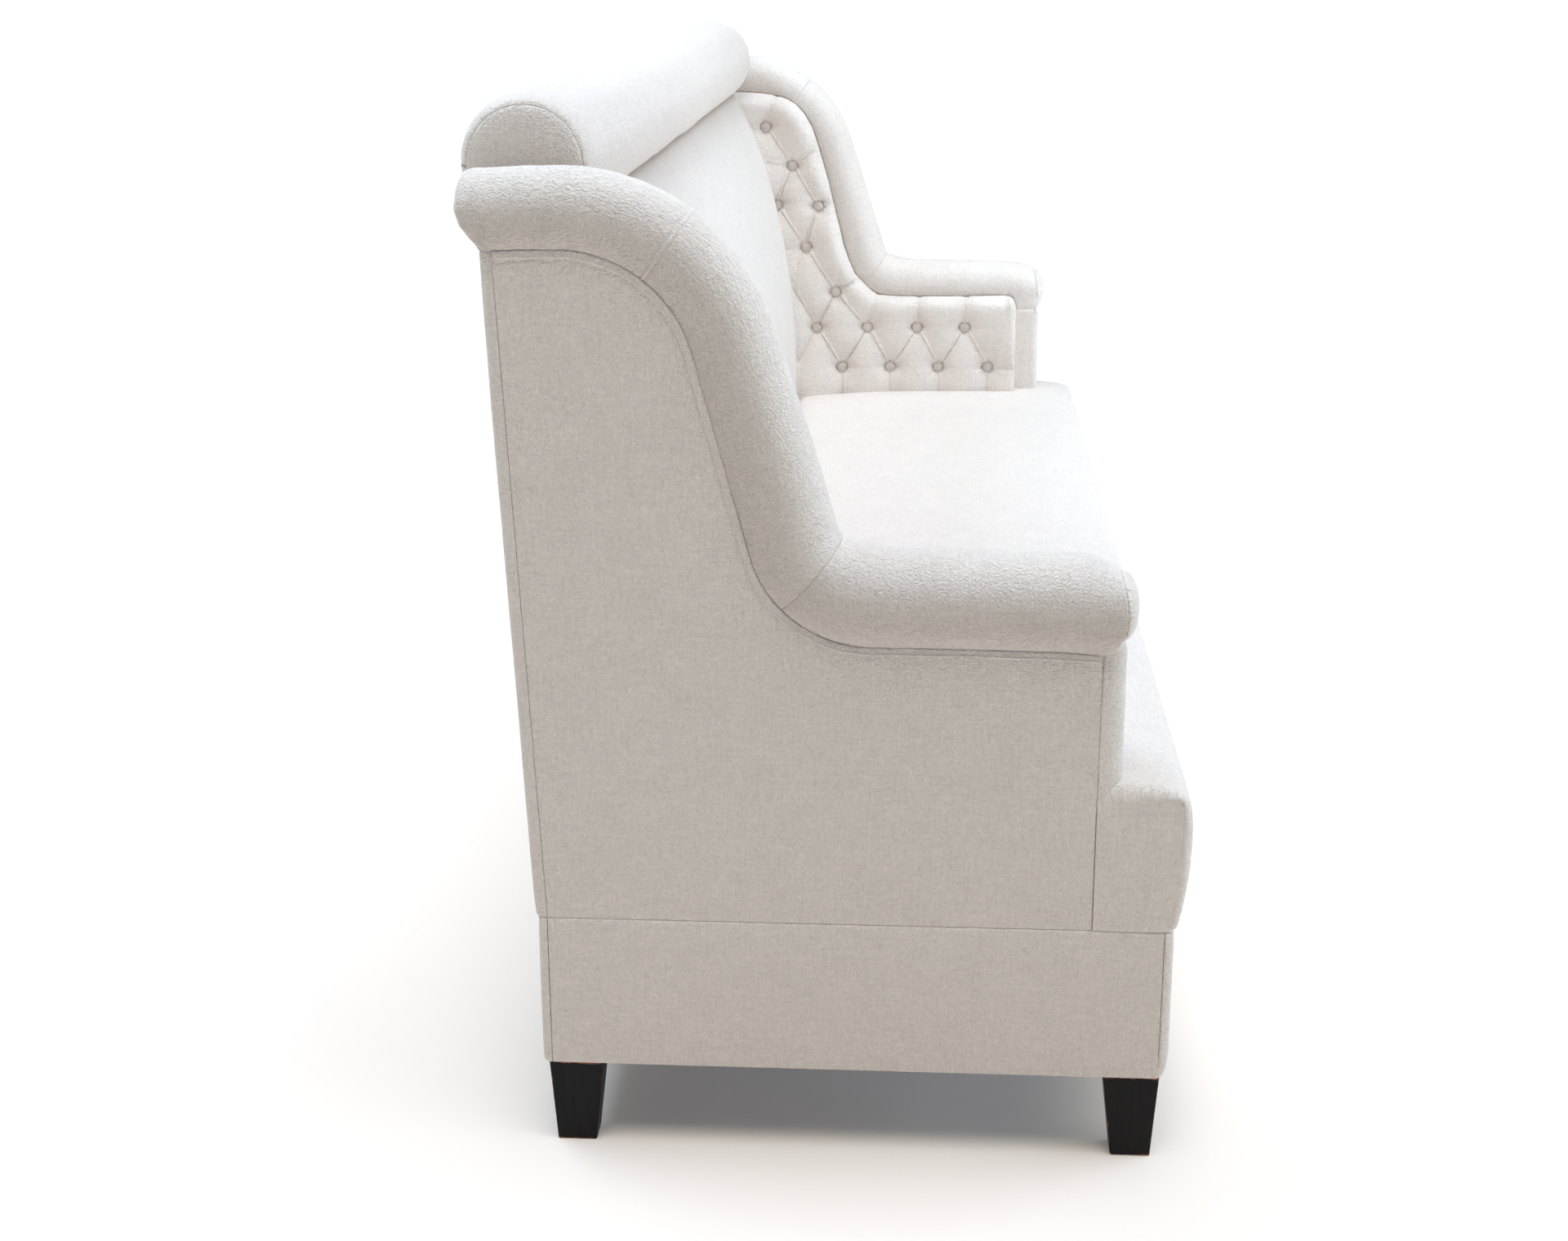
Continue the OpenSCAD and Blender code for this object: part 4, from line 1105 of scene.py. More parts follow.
def tufted_pad(name, side, seed, nodes):
    top = np.array(PAD_TOP, float)
    top = top[np.argsort(top[:, 0], kind="stable")]
    y0, y1, zb = -288.0, 292.0, 432.0
    y1 = 322.0
    cols = y0 + spaced(y1 - y0, 1.35, ends=(True, False))
    # the front edge is upright: its columns keep to it, and its top corner is round
    front = np.array([(-288, 646), (-287.5, 658), (-283.5, 668), (-275, 674), (-262, 676)], float)
    ztop = np.interp(cols, top[:, 0], top[:, 1])
    ztop[cols <= -287.9] = 648
    for yp in (-184, -86, 2, 214):
        ztop -= 2.6 * np.exp(-((cols - yp) / 6.5) ** 2)
    nz = 420
    e = np.array([0.3, 0.7, 1.2, 1.9, 2.8, 4.0, 5.6])
    G = np.zeros((len(cols), nz, 3))
    for i, (y, zt) in enumerate(zip(cols, ztop)):
        lo = np.linspace(zb, zt - 7.5, nz - 8)
        G[i, :, 2] = np.concatenate([lo, zt - e[::-1], [zt]])
        G[i, :, 1] = y
    Y, Z = G[..., 1].ravel(), G[..., 2].ravel()
    p = np.stack([Y, Z], 1)
    bound = np.concatenate([top[::-1], [(-288.0, 420.0)]])
    bound = np.array([(300, 1092.5)] + [tuple(q) for q in PAD_TOP[1:]] + [(-288.0, 420.0)], float)
    d_edge = line_dist(p, bound)
    h = sample(*TUFT, Y, Z)
    # the edge sinks towards the seam
    deep = np.interp(Y, [-60, 60, 200, 290], [18.6, 20.0, 24.5, 26.0])
    edge = deep * np.clip(1 - line_dist(p, bound[:-1]) / 36.0, 0, 1) ** 2.3 + roll_in_edge(d_edge, 1.5)
    front = smooth01((-262 - Y) / 14)
    edge = edge * (1 - front) + front * (2.0 * np.clip(1 - d_edge / 5.0, 0, 1) ** 2.0 + roll_in_edge(d_edge, 0.9))
    h = h * (smooth01(0.35 + d_edge / 30) * (1 - front) + front * smooth01(0.55 + d_edge / 30)) - edge
    # pleats: the upper side of each fold laps over the lower
    for k, (A, B, c) in enumerate([(BUTTONS[a], BUTTONS[b], 1.0) for a, b in PLEATS] + [(BUTTONS[a], q, 0.62) for a, q in OUT]):
        if A[1] < B[1]:
            A, B = B, A
        d, t, sgn = seg_dist(p, A, B)
        s1 = sgn * (1 if B[0] >= A[0] else -1)
        ends = smooth01(t / 0.13) * smooth01((1 - t) / 0.13) * ((t > 0) & (t < 1))
        s2 = s1 + 1.6 * np.sin(t * math.pi) * (1 if k % 2 else -1) * 0.5
        wl = 3.6 - 1.6 * t
        up, low = (3.3, 3.0) if B[0] > A[0] + 4 else (2.6, 1.35)
        if k >= len(PLEATS):
            up, low = 2.6, 1.6
        h += c * ends * ((up - 0.8 * t) * np.exp(-((s2 - wl) / (0.85 * wl)) ** 2) - low * np.exp(-((s2 + 0.2) / 1.25) ** 2))
    # a soft valley beside each button, level with it
    for by, bz in BUTTONS:
        dy = np.abs(Y - by)
        h -= 1.5 * np.exp(-np.maximum(dy - 10, 0) / 15.0) * (np.exp(-((Z - bz) / 5.0) ** 2)) * smooth01((dy - 6) / 6)
    # cloth drawn in round each button
    P3 = np.column_stack([np.full(len(Y), seed * 50.0), Y, Z])
    for k, (by, bz) in enumerate(BUTTONS):
        r = np.hypot(Y - by, Z - bz)
        m = r < 60
        an = np.arctan2(Z[m] - bz, Y[m] - by)
        q = np.stack([np.cos(an) * 2.6 + k * 5, np.sin(an) * 2.6, np.full(m.sum(), k * 3.0)], 1)
        rip = vnoise(q, seed) + 0.6 * vnoise(q * 2.1, seed + 1)
        rr = r[m]
        h[m] += 1.1 * rip * np.exp(-np.maximum(0, rr - 14) / 13.0) * smooth01((rr - 10) / 5)
    h += 0.5 * wavy(P3, 70, seed + 2) + 0.20 * (crinkle(P3, 12, seed + 4) - 0.45)
    xin = 122.0 - 2.0
    G[..., 0] = (-W2 + xin + h).reshape(G.shape[:2])
    # its front seam wanders a little
    zz = G[..., 2]
    wob = 1.1 * vnoise(np.stack([zz.ravel() / 26.0, 0 * zz.ravel(), 0 * zz.ravel()], 1), seed + 12).reshape(zz.shape) + 2.2 * np.exp(-((zz - 452) / 9.0) ** 2)
    G[..., 1] += wob * smooth01((-262 - G[..., 1]) / 22) * smooth01((640 - zz) / 20)
    fab = np.stack([G[..., 1], G[..., 2], np.full(G.shape[:2], seed * 9.0)], -1)
    me = mesh_data(name, flip_x(G) if side > 0 else G, grid_faces(*G.shape[:2]), fab=fab)
    sx = 1 if side > 0 else -1

    def back(q):
        return [sx * (W2 - 80.0), q[1], q[2]]
    close_open(me, back)
    o = piece(name, me, M_LINEN, nodes, angle=70)
    return o


def buttons(name, side, seed, nodes):
    V, F, FAB = [], [], []
    prof = [(0.0, 7.2), (2.5, 7.1), (5.0, 6.6), (7.2, 5.6), (9.0, 4.2), (10.3, 2.4), (11.0, 0.4), (11.2, -1.4), (10.6, -3.0), (9.4, -3.6)]
    rng = np.random.RandomState(seed)
    n = 40
    for k, (by, bz) in enumerate(BUTTONS):
        base = len(V)
        x0 = -W2 + 122 - 2 - 17.0 + 1.0
        tilt = rng.uniform(-0.07, 0.07, 2)
        V.append((x0 + prof[0][1], by, bz))
        FAB.append((0 + k * 40, 0, seed))
        for j, (r, hh) in enumerate(prof[1:]):
            for i in range(n):
                an = 2 * math.pi * i / n
                rip = 0.22 * math.sin(an * 9 + k * 1.7) * smooth01(np.array([(r - 7) / 4.0]))[0]
                y, z = (r + rip * 0.6) * math.cos(an), (r + rip * 0.6) * math.sin(an)
                V.append((x0 + hh + tilt[0] * y + tilt[1] * z + rip * 0.4, by + y, bz + z))
                FAB.append((k * 40 + y + (4 if r > 9 else 0), z, seed))
        for i in range(n):
            F.append([base, base + 1 + i, base + 1 + (i + 1) % n])
        nr = len(prof) - 1
        Q = [[base + 1 + j * n + i, base + 1 + (j + 1) * n + i, base + 1 + (j + 1) * n + (i + 1) % n, base + 1 + j * n + (i + 1) % n]
             for j in range(nr - 1) for i in range(n)]
        F += Q
    F3 = [f for f in F if len(f) == 3]
    F4 = [f for f in F if len(f) == 4]
    V = np.array(V)
    me = mesh_data(name, flip_x(V) if side > 0 else V, F4, F3, fab=np.array(FAB))
    close_open(me, None)
    return piece(name, me, M_BUTTON, nodes)


for side, tag in ((-1, "left"), (1, "right")):
    o = tufted_pad("tufted_pad_" + tag, side, 4 if side < 0 else 6, ["pad_cover_" + tag, "pad_foam_" + tag])
    buttons("pad_buttons_" + tag, side, 14 if side < 0 else 16, ["pad_buttons_" + tag])


# ---------------------------------------------------------------- seat
def seat():
    prof = [(166, 440), (166, 452), (164, 458), (158, 462.5), (140, 465.5), (120, 467.5), (60, 472), (0, 475.3), (-80, 477.6), (-150, 478.3),
            (-220, 478.4), (-280, 478.4), (-330, 477.8), (-352, 476.8), (-370, 475), (-388, 472.4), (-400, 469.6), (-407, 466.6), (-411.4, 462.2), (-414.2, 456),
            (-416.2, 448), (-417.6, 438), (-418.6, 424), (-418.8, 411), (-418.6, 398), (-418, 382), (-416.5, 362), (-414.2, 342), (-411.3, 322), (-408.3, 308), (-406, 300), (-404, 298)]
    prof, s = resample(np.array(prof, float), step=1.0)
    for _ in range(14):
        prof[1:-1] = 0.25 * prof[:-2] + 0.5 * prof[1:-1] + 0.25 * prof[2:]
    d = np.concatenate([[0], np.cumsum(np.linalg.norm(np.diff(prof, axis=0), axis=1))])
    L = d[-1]
    i_top = np.argmax(prof[:, 0] < -307.3)
    s_ear = d[i_top]
    rows = np.concatenate([np.linspace(0, s_ear, 92), s_ear + spaced(L - s_ear, 3.0, ends=(True, True))[1:]])
    r0 = 91
    pr = np.stack([np.interp(rows, d, prof[:, k]) for k in (0, 1)], 1)
    tg = np.gradient(pr, axis=0)
    tg /= np.linalg.norm(tg, axis=1, keepdims=True)
    nr = np.stack([tg[:, 1], -tg[:, 0]], 1)               # outwards: up on the top, forwards at the nose
    if nr[60, 1] < 0:
        nr = -nr
    half = [1200, 1199.85, 1199.4, 1198.6, 1197.4, 1195.8, 1193.8, 1191.4, 1188.6, 1185, 1180, 1174, 1167, 1159, 1150, 1140, 1129, 1117, 1106, 1097, 1090, 1084, 1080, 1077.5, 1074, 1069, 1062, 1054, 1045, 1034, 1022]
    mid = np.linspace(-1010, 1010, 270)
    xs = np.array(sorted([-h for h in half]) + list(mid) + sorted(half))
    nx = len(xs)
    ax = np.abs(xs)
    # the ends round over to the sides, more at the back than along the front
    tt = np.clip((ax - (W2 - 14.0)) / 14.0, 0, 1)
    over = 1 - np.sqrt(np.maximum(0, 1 - tt ** 2))
    high = np.interp(rows, s_ear + np.array([0, 24, 54, 84, 100, 112, 125, 160, 215, 260]), [26.5, 21.5, 16.0, 10.0, 7.5, 8.0, 10.0, 11.0, 10.5, 9.5])
    # beside the tufted pads the seat turns down, only behind the posts
    tuck = np.interp(ax, [1054, 1064, 1069, 1072, 1075, 1077.5], [0, 0.4, 1.2, 2.6, 5.5, 12])
    G = np.zeros((nx, len(rows), 3))
    wz = smooth01((pr[:, 1] - 385) / 75)
    for i in range(nx):
        ins = high * over[i] + 0.6 * np.exp(-(W2 - ax[i]) / 14.0)
        y = pr[:, 0] - nr[:, 0] * ins
        z = pr[:, 1] - nr[:, 1] * ins
        behind = smooth01((y + 300) / 24)
        if ax[i] < 1078:
            z = z - tuck[i] * behind * wz
        # the top swells in front of the post
        if ax[i] > 1086:
            k = smooth01(np.array([(ax[i] - 1086) / 20]))[0]
            z = z + k * 1.2 * wz * smooth01((-y - 318) / 30) * smooth01((y + 425) / 40)
        G[i, :, 0] = xs[i]
        G[i, :, 1] = y
        G[i, :, 2] = z
    P = G.reshape(-1, 3)
    crown = 0
    h = 0.9 * wavy(P, (260, 130, 130), 3, 2) + 0.30 * (crinkle(P, 17, 5) - 0.45) + 0.12 * wavy(P, 7, 8)
    h = h.reshape(nx, -1)
    fade = smooth01((W2 - ax) / 16)[:, None] * smooth01((L - rows) / 14)[None, :]
    h *= fade
    h -= (roll_in_edge(L - rows, 2.2))[None, :] * 0.9
    nose = smooth01((rows - (s_ear + 75)) / 20)
    h -= (roll_in_edge(W2 - ax, 1.2) * 0.0)[:, None]
    G[..., 1] += h * nr[None, :, 0]
    G[..., 2] += h * nr[None, :, 1]
    # a small crease across the top corner, at each end of the nose
    for i in range(nx):
        if ax[i] > 1150:
            q = W2 - ax[i]
            yc, zc = G[i, :, 1], G[i, :, 2]
            line_y = -391 - q * 0.30
            dd = (yc - line_y)
            G[i, :, 2] -= 1.0 * np.exp(-(dd / 2.0) ** 2) * np.exp(-(q / 24.0) ** 2) * (zc > 452)
    arc = np.repeat(rows[None, :], nx, 0)
    fab = np.stack([G[..., 0], arc, np.full_like(arc, 300.0)], -1)
    V = [G.reshape(-1, 3)]
    FB = [fab.reshape(-1, 3)]
    nv = len(rows)
    F = grid_faces(nx, nv)
    keep = []
    for f in F:
        i = f[0] // nv
        j = f[0] % nv
        x0, x1 = xs[i], xs[i + 1]
        if min(abs(x0), abs(x1)) >= 1077.4 and j < r0 and not (max(abs(x0), abs(x1)) < 1099 and pr[j, 0] < -284):
            continue
        keep.append(f)
    F = [np.array(keep)]
    # side faces of the ears, between the end of the top cloth, the upright seam and the base
    base = nx * nv
    jc = int(np.argmin(np.abs(rows - (s_ear + 109))))       # the corner between the top edge and the nose
    for sgn, i in ((-1, 0), (1, nx - 1)):
        loop = G[i, r0:]                                   # from the post, over the nose, to the base
        nt = jc - r0
        nf = len(loop) - 1 - nt
        T = loop[:nt + 1]                                  # back to front along the top
        R = loop[nt:][::-1]                                # bottom to top along the front
        C00 = np.array([sgn * W2, T[0, 1], 298.3])
        C10 = R[0]
        a = np.concatenate([[0], np.cumsum(np.linalg.norm(np.diff(T, axis=0), axis=1))])
        a /= a[-1]
        b = np.concatenate([[0], np.cumsum(np.linalg.norm(np.diff(R, axis=0), axis=1))])
        b /= b[-1]
        B = C00 + (C10 - C00) * a[:, None]
        Lf = C00 + (T[0] - C00) * b[:, None]
        A, Bb = np.meshgrid(a, b, indexing="ij")
        S = (1 - Bb)[..., None] * B[:, None] + Bb[..., None] * T[:, None] + (1 - A)[..., None] * Lf[None] + A[..., None] * R[None] \
            - ((1 - A) * (1 - Bb))[..., None] * C00 - (A * (1 - Bb))[..., None] * C10 - ((1 - A) * Bb)[..., None] * T[0] - (A * Bb)[..., None] * T[-1]
        S2 = S[..., 1:].reshape(-1, 2)
        dn = line_dist(S2, loop[nt - 2:, 1:][::3])
        dt = line_dist(S2, T[::3, 1:])
        dr = np.minimum(S2[:, 0] * 0 + np.abs(S2[:, 0] - T[0, 1]) * 0 + np.abs(T[0, 1] - S2[:, 0]), S2[:, 1] - 298.3)
        P3 = np.column_stack([np.full(len(S2), sgn * W2), S2])
        inset = roll_in_edge(dn, 1.6) * 1.1 + roll_in_edge(dr, 1.3) + 0.5 * np.exp(-dn / 7)
        out = 1.2 * (1 - np.exp(-np.minimum(dn, dr) / 14)) + 0.35 * wavy(P3, 60, 11) + 0.10 * wavy(P3, 16, 12) * smooth01(dt / 10)
        out = out * smooth01(dt / 50) ** 1.3
        X = np.full(len(S2), sgn * W2) + sgn * (out - inset * 1.0)
        S = np.column_stack([X, S2]).reshape(S.shape)
        edge_keep = np.zeros(S.shape[:2], bool)
        edge_keep[:, -1] = True
        edge_keep[-1, :] = True
        S[:, -1] = T
        S[-1, :] = R
        V.append(S.reshape(-1, 3))
        fb = np.stack([S[..., 1] + 5000, S[..., 2], np.full(S.shape[:2], 320.0 + sgn)], -1)
        FB.append(fb.reshape(-1, 3))
        F.append(grid_faces(*S.shape[:2], start=base))
        base += S.shape[0] * S.shape[1]
    V, FB, F = np.concatenate(V), np.concatenate(FB), np.concatenate(F)
    used = np.unique(F)
    idx = np.full(len(V), -1)
    idx[used] = np.arange(len(used))
    me = mesh_data("seat", V[used], idx[F], fab=FB[used], corners=True)

    def back(p):
        return [p[0], p[1], 298.2]
    close_open(me, back)
    o = piece("seat", me, M_LINEN, ["seat_cover", "seat_foam"])
    return o


seat()


# ---------------------------------------------------------------- inside back
DARK_Z = 1089.0                      # where the bolster begins to hide it


def inside_back():
    prof = [(168, 440), (168.5, 470), (171, 590), (179, 692), (192, 776), (212, 871), (234, 950), (258, 1015), (280, 1060), (292, 1082), (300, 1096)]
    pr, s = resample(np.array(prof, float), step=3.0)
    for _ in range(14):
        pr[1:-1] = 0.25 * pr[:-2] + 0.5 * pr[1:-1] + 0.25 * pr[2:]
    tg = np.gradient(pr, axis=0)
    tg /= np.linalg.norm(tg, axis=1, keepdims=True)
    nr = np.stack([-tg[:, 1], tg[:, 0]], 1)                # towards the front
    xs = -1084 + spaced(2168.0, 6.5, edge=(0.6, 1.6, 3.0, 5, 7.5, 11, 15, 20, 26))
    ax = np.abs(xs)
    e = 1084 - ax
    r = 30.0
    ins = np.where(e < r, r * (1 - np.sqrt(np.maximum(0, 1 - (1 - e / r) ** 2))), 0) * 0.8 + 2.0 * np.exp(-e / 60)
    G = np.zeros((len(xs), len(pr), 3))
    G[..., 0] = xs[:, None]
    G[..., 1] = pr[None, :, 0] - nr[None, :, 0] * ins[:, None]
    G[..., 2] = pr[None, :, 1] - nr[None, :, 1] * ins[:, None]
    P = G.reshape(-1, 3)
    h = (1.1 * wavy(P, (240, 240, 160), 23, 2) + 0.28 * (crinkle(P, 18, 25) - 0.45) + 0.10 * wavy(P, 8, 26)).reshape(G.shape[:2])
    h *= smooth01(e / 12)[:, None]
    G[..., 1] += h * nr[None, :, 0]
    G[..., 2] += h * nr[None, :, 1]
    arc = np.repeat(np.linspace(0, s[-1], len(pr))[None, :], len(xs), 0)
    fab = np.stack([G[..., 0], arc, np.full_like(arc, 400.0)], -1)
    # painted shadow under the bolster: the cloth is darkened in colour towards it, and fully darkened above DARK_Z
    # where the bolster hides it
    under = np.maximum(0, DARK_Z - G[..., 2])
    sh = np.where(G[..., 2] > DARK_Z, 1.0, 0.50 * np.exp(-under / 4.0) + 0.42 * np.exp(-(under / 36.0) ** 1.4))
    me = mesh_data("inside_back", G, grid_faces(len(xs), len(pr)), fab=fab, extra={"shade": np.repeat(sh[..., None], 3, -1)})

    def back(p):
        return [p[0], 281 + (p[2] - 302) * 0.0413, p[2]]
    close_open(me, back)
    return piece("inside_back", me, M_LINEN_BACK, ["back_cover", "back_foam"])


inside_back()


# ---------------------------------------------------------------- bolster
BY, BZ, BR, BER, BEX = 341.0, 1158.0, 77.0, 66.0, 1090.0


def bolster():
    shoulder = [(t, BER + (BR - BER) * math.sin(t), 48 * (1 - math.cos(t))) for t in np.linspace(0, math.pi / 2, 15)]
    xs = [-BEX + q[2] for q in shoulder] + list(np.linspace(-BEX + 54, BEX - 54, 400)) + [BEX - q[2] for q in shoulder[::-1]]
    rs = [q[1] for q in shoulder] + [BR] * 400 + [q[1] for q in shoulder[::-1]]
    xs, rs = np.array(xs), np.array(rs)
    # a last row turned into the end seam
    xs = np.concatenate([[-BEX + 0.3], xs, [BEX - 0.3]])
    rs = np.concatenate([[BER - 0.9], rs, [BER - 0.9]])
    n = 116
    an = np.linspace(0, 2 * math.pi, n, endpoint=False)
    X = np.repeat(xs[:, None], n, 1)
    C, S = np.cos(an)[None, :], np.sin(an)[None, :]
    Pu = np.stack([X, BR * C + 0 * X, BR * S + 0 * X], -1).reshape(-1, 3)
    # settled a little, with soft dents between the places where it is held
    low = 1.5 * wavy(Pu / np.array([1, 2.2, 2.2]), 150, 31, 2)
    # cloth drawn round it: ridges that run round, leaning a little
    lean = Pu[:, 0] + 14 * np.repeat(np.sin(an)[None, :], len(xs), 0).ravel() + 30 * wavy(Pu, (300, 90, 90), 36, 1)
    q = np.stack([lean / 21.0, Pu[:, 1] / 110.0, Pu[:, 2] / 110.0], 1)
    ridg = vnoise(q, 33) * 0.55 + vnoise(q * np.array([2.3, 1.4, 1.4]) + 4, 34) * 0.28
    fine = 0.30 * (crinkle(Pu, 14, 35) - 0.45) + 0.10 * wavy(Pu, 6.5, 37)
    h = (low + ridg * 0.75 + fine).reshape(X.shape)
    near_end = np.minimum(xs + BEX, BEX - xs)
    h *= smooth01(near_end / 40)[:, None] * 0.85 + 0.15 * smooth01(near_end / 4)[:, None]
    # gathers into the end seam
    g = vnoise(np.stack([an * 9.0, np.zeros(n), np.zeros(n)], 1), 38)
    h += 0.5 * g[None, :] * np.exp(-((near_end - 6) / 9.0) ** 2)[:, None]
    R = rs[:, None] + h
    sag = -1.2 * np.cos(np.clip(xs / BEX, -1, 1) * math.pi / 2)
    G = np.stack([X, BY + R * C, BZ + R * S + sag[:, None]], -1)
    arc = np.repeat((an * BR)[None, :], len(xs), 0)
    # threads run along and round; the seam of the cover is at the back, so the pattern is taken from x and height
    fab = np.stack([X, arc, np.full_like(X, 500.0)], -1)
    F = grid_faces(len(xs), n, wrap_v=True)
    me = mesh_data("bolster_cover", G, F, fab=fab)
    close_open(me, None)
    o = piece("bolster_cover", me, M_LINEN, ["bolster_cover", "bolster_foam"])
    for sgn, tag in ((-1, "left"), (1, "right")):
        n2 = 110
        a2 = np.linspace(0, 2 * math.pi, n2, endpoint=False)
        r_r = BER - 0.9
        ring = np.stack([np.full(n2, sgn * (BEX - 0.5)), BY + r_r * np.cos(a2), BZ + r_r * np.sin(a2)], 1)
        flipped = 1 if sgn > 0 else -1
        ring_l = ring.copy()
        ring_l[:, 0] = -np.abs(ring_l[:, 0])
        fan_cap("bolster_end_" + tag, ring_l, (-BEX - 10.0, BY, BZ), -1.0, 41 if sgn < 0 else 45, sgn, ["bolster_ends"] if sgn < 0 else [], axis=0, rings=30)
        # piping round the end
        m = 200
        k = 10
        am = np.linspace(0, 2 * math.pi, m, endpoint=False)
        ak = np.linspace(0, 2 * math.pi, k, endpoint=False)
        wob = 0.25 * vnoise(np.stack([np.cos(am) * 4, np.sin(am) * 4, np.zeros(m)], 1), 48)
        rp = 1.1
        RR = BER - 0.3 + wob[:, None] + rp * np.cos(ak)[None, :]
        XX = sgn * (BEX - 0.4) + sgn * rp * np.sin(ak)[None, :] + 0 * RR
        GP = np.stack([XX, BY + RR * np.cos(am)[:, None], BZ + RR * np.sin(am)[:, None]], -1)
        fabp = np.stack([np.repeat((am * BER)[:, None], k, 1), np.repeat((ak * rp)[None, :], m, 0), np.full((m, k), 520.0)], -1)
        mp = mesh_data("bolster_piping_" + tag, GP, grid_faces(m, k, True, True), fab=fabp)
        close_open(mp, None)
        piece("bolster_piping_" + tag, mp, M_LINEN)
    return o


bolster()


# ---------------------------------------------------------------- base bands and outside back
def end_band(name, y_out, direction, seed, nodes):
    """Band along the front or back rail, round both corners. direction: -1 faces the front, +1 the back."""
    r = 11.0
    pts = []
    y_in = y_out - direction * 9.6
    for t in np.concatenate([[0, 1.5, 3.5, 6, 9, 13], np.linspace(18, 90, 12)]):
        pts.append((-W2 + r - r * math.cos(rad(t)), y_out - direction * r * (1 - math.sin(rad(t)))))
    left = np.array(pts)
    mid = np.stack([np.linspace(-W2 + r + 4, W2 - r - 4, 300), np.full(300, y_out)], 1)
    rightp = left[::-1].copy()
    rightp[:, 0] *= -1
    plan = np.concatenate([left, mid, rightp])
    d = np.concatenate([[0], np.cumsum(np.linalg.norm(np.diff(plan, axis=0), axis=1))])
    tg = np.gradient(plan, axis=0)
    tg /= np.linalg.norm(tg, axis=1, keepdims=True)
    nr = np.stack([tg[:, 1], -tg[:, 0]], 1) * (1 if direction < 0 else -1)
    zr = 108.0 + spaced(189.6, 6.0, edge=(0.3, 0.8, 1.5, 2.5, 4, 6, 9))
    G = np.zeros((len(plan), len(zr), 3))
    G[..., 0] = plan[:, None, 0]
    G[..., 1] = plan[:, None, 1]
    G[..., 2] = zr[None, :]
    P = G.reshape(-1, 3)
    ez = np.minimum(zr - 108.0, 297.6 - zr)
    es = np.minimum(d, d[-1] - d)
    h = (0.45 * wavy(P, (200, 60, 60), seed, 2) + 0.2 * (crinkle(P, 17, seed + 1) - 0.45)).reshape(G.shape[:2])
    h = h * smooth01(ez / 12)[None, :] + 0.9 * (1 - np.exp(-ez / 16))[None, :]
    h -= (roll_in_edge(ez, 3.2) * np.where(zr > 200, 0.7, 1.1))[None, :]
    h -= (roll_in_edge(es, 1.8))[:, None] * 0.9
    G[..., 0] += nr[:, None, 0] * h
    G[..., 1] += nr[:, None, 1] * h
    if direction < 0:
        near = 0.35 + 0.65 * np.exp(-np.minimum(d, d[-1] - d) / 60.0)
        G[..., 1] += 6.0 * near[:, None] * (np.clip(1 - (zr - 108.0) / 34.0, 0, 1) ** 2)[None, :]
    fab = np.stack([np.repeat(d[:, None], len(zr), 1), G[..., 2], np.full(G.shape[:2], 600.0 + seed)], -1)
    me = mesh_data(name, G, grid_faces(len(plan), len(zr)), fab=fab)

    def back(p):
        return [min(max(p[0], -W2 + 3), W2 - 3), y_in, p[2]]
    close_open(me, back)
    return piece(name, me, M_LINEN, nodes)


end_band("base_band_front", -402.0, -1, 51, ["base_band_front"])
end_band("base_band_back", 340.0, 1, 54, ["base_band_back"])


def side_band(name, side, seed, nodes):
    y0, y1 = -390.6, 328.6
    ys = y0 + spaced(y1 - y0, 7.0)
    zr = 108.0 + spaced(189.6, 6.0, edge=(0.3, 0.8, 1.5, 2.5, 4, 6, 9))
    G = np.zeros((len(ys), len(zr), 3))
    G[..., 1] = ys[:, None]
    G[..., 2] = zr[None, :]
    ez = np.minimum(zr - 108.0, 297.6 - zr)
    es = np.minimum(ys - y0, y1 - ys)
    P = np.stack([np.full(G.shape[:2], side * W2), G[..., 1], G[..., 2]], -1).reshape(-1, 3)
    h = (0.45 * wavy(P, (60, 170, 60), seed, 2) + 0.10 * wavy(P, 24, seed + 1)).reshape(G.shape[:2])
    h = h * (smooth01(ez / 12)[None, :] * smooth01(es / 12)[:, None]) + 0.8 * (1 - np.exp(-ez / 16))[None, :]
    h -= (roll_in_edge(ez, 3.0) * np.where(zr > 200, 0.7, 1.1))[None, :]
    h -= (roll_in_edge(es, 1.8))[:, None] * 0.9
    G[..., 0] = side * (W2 + h)
    fab = np.stack([G[..., 1] + 2000, G[..., 2], np.full(G.shape[:2], 640.0 + seed)], -1)
    me = mesh_data(name, G, grid_faces(len(ys), len(zr)), fab=fab)

    def back(p):
        return [side * (W2 - 7.8), p[1], p[2]]
    close_open(me, back)
    return piece(name, me, M_LINEN, nodes)


for side, tag in ((-1, "left"), (1, "right")):
    side_band("base_band_" + tag, side, 57 if side < 0 else 59, ["base_band_" + tag])


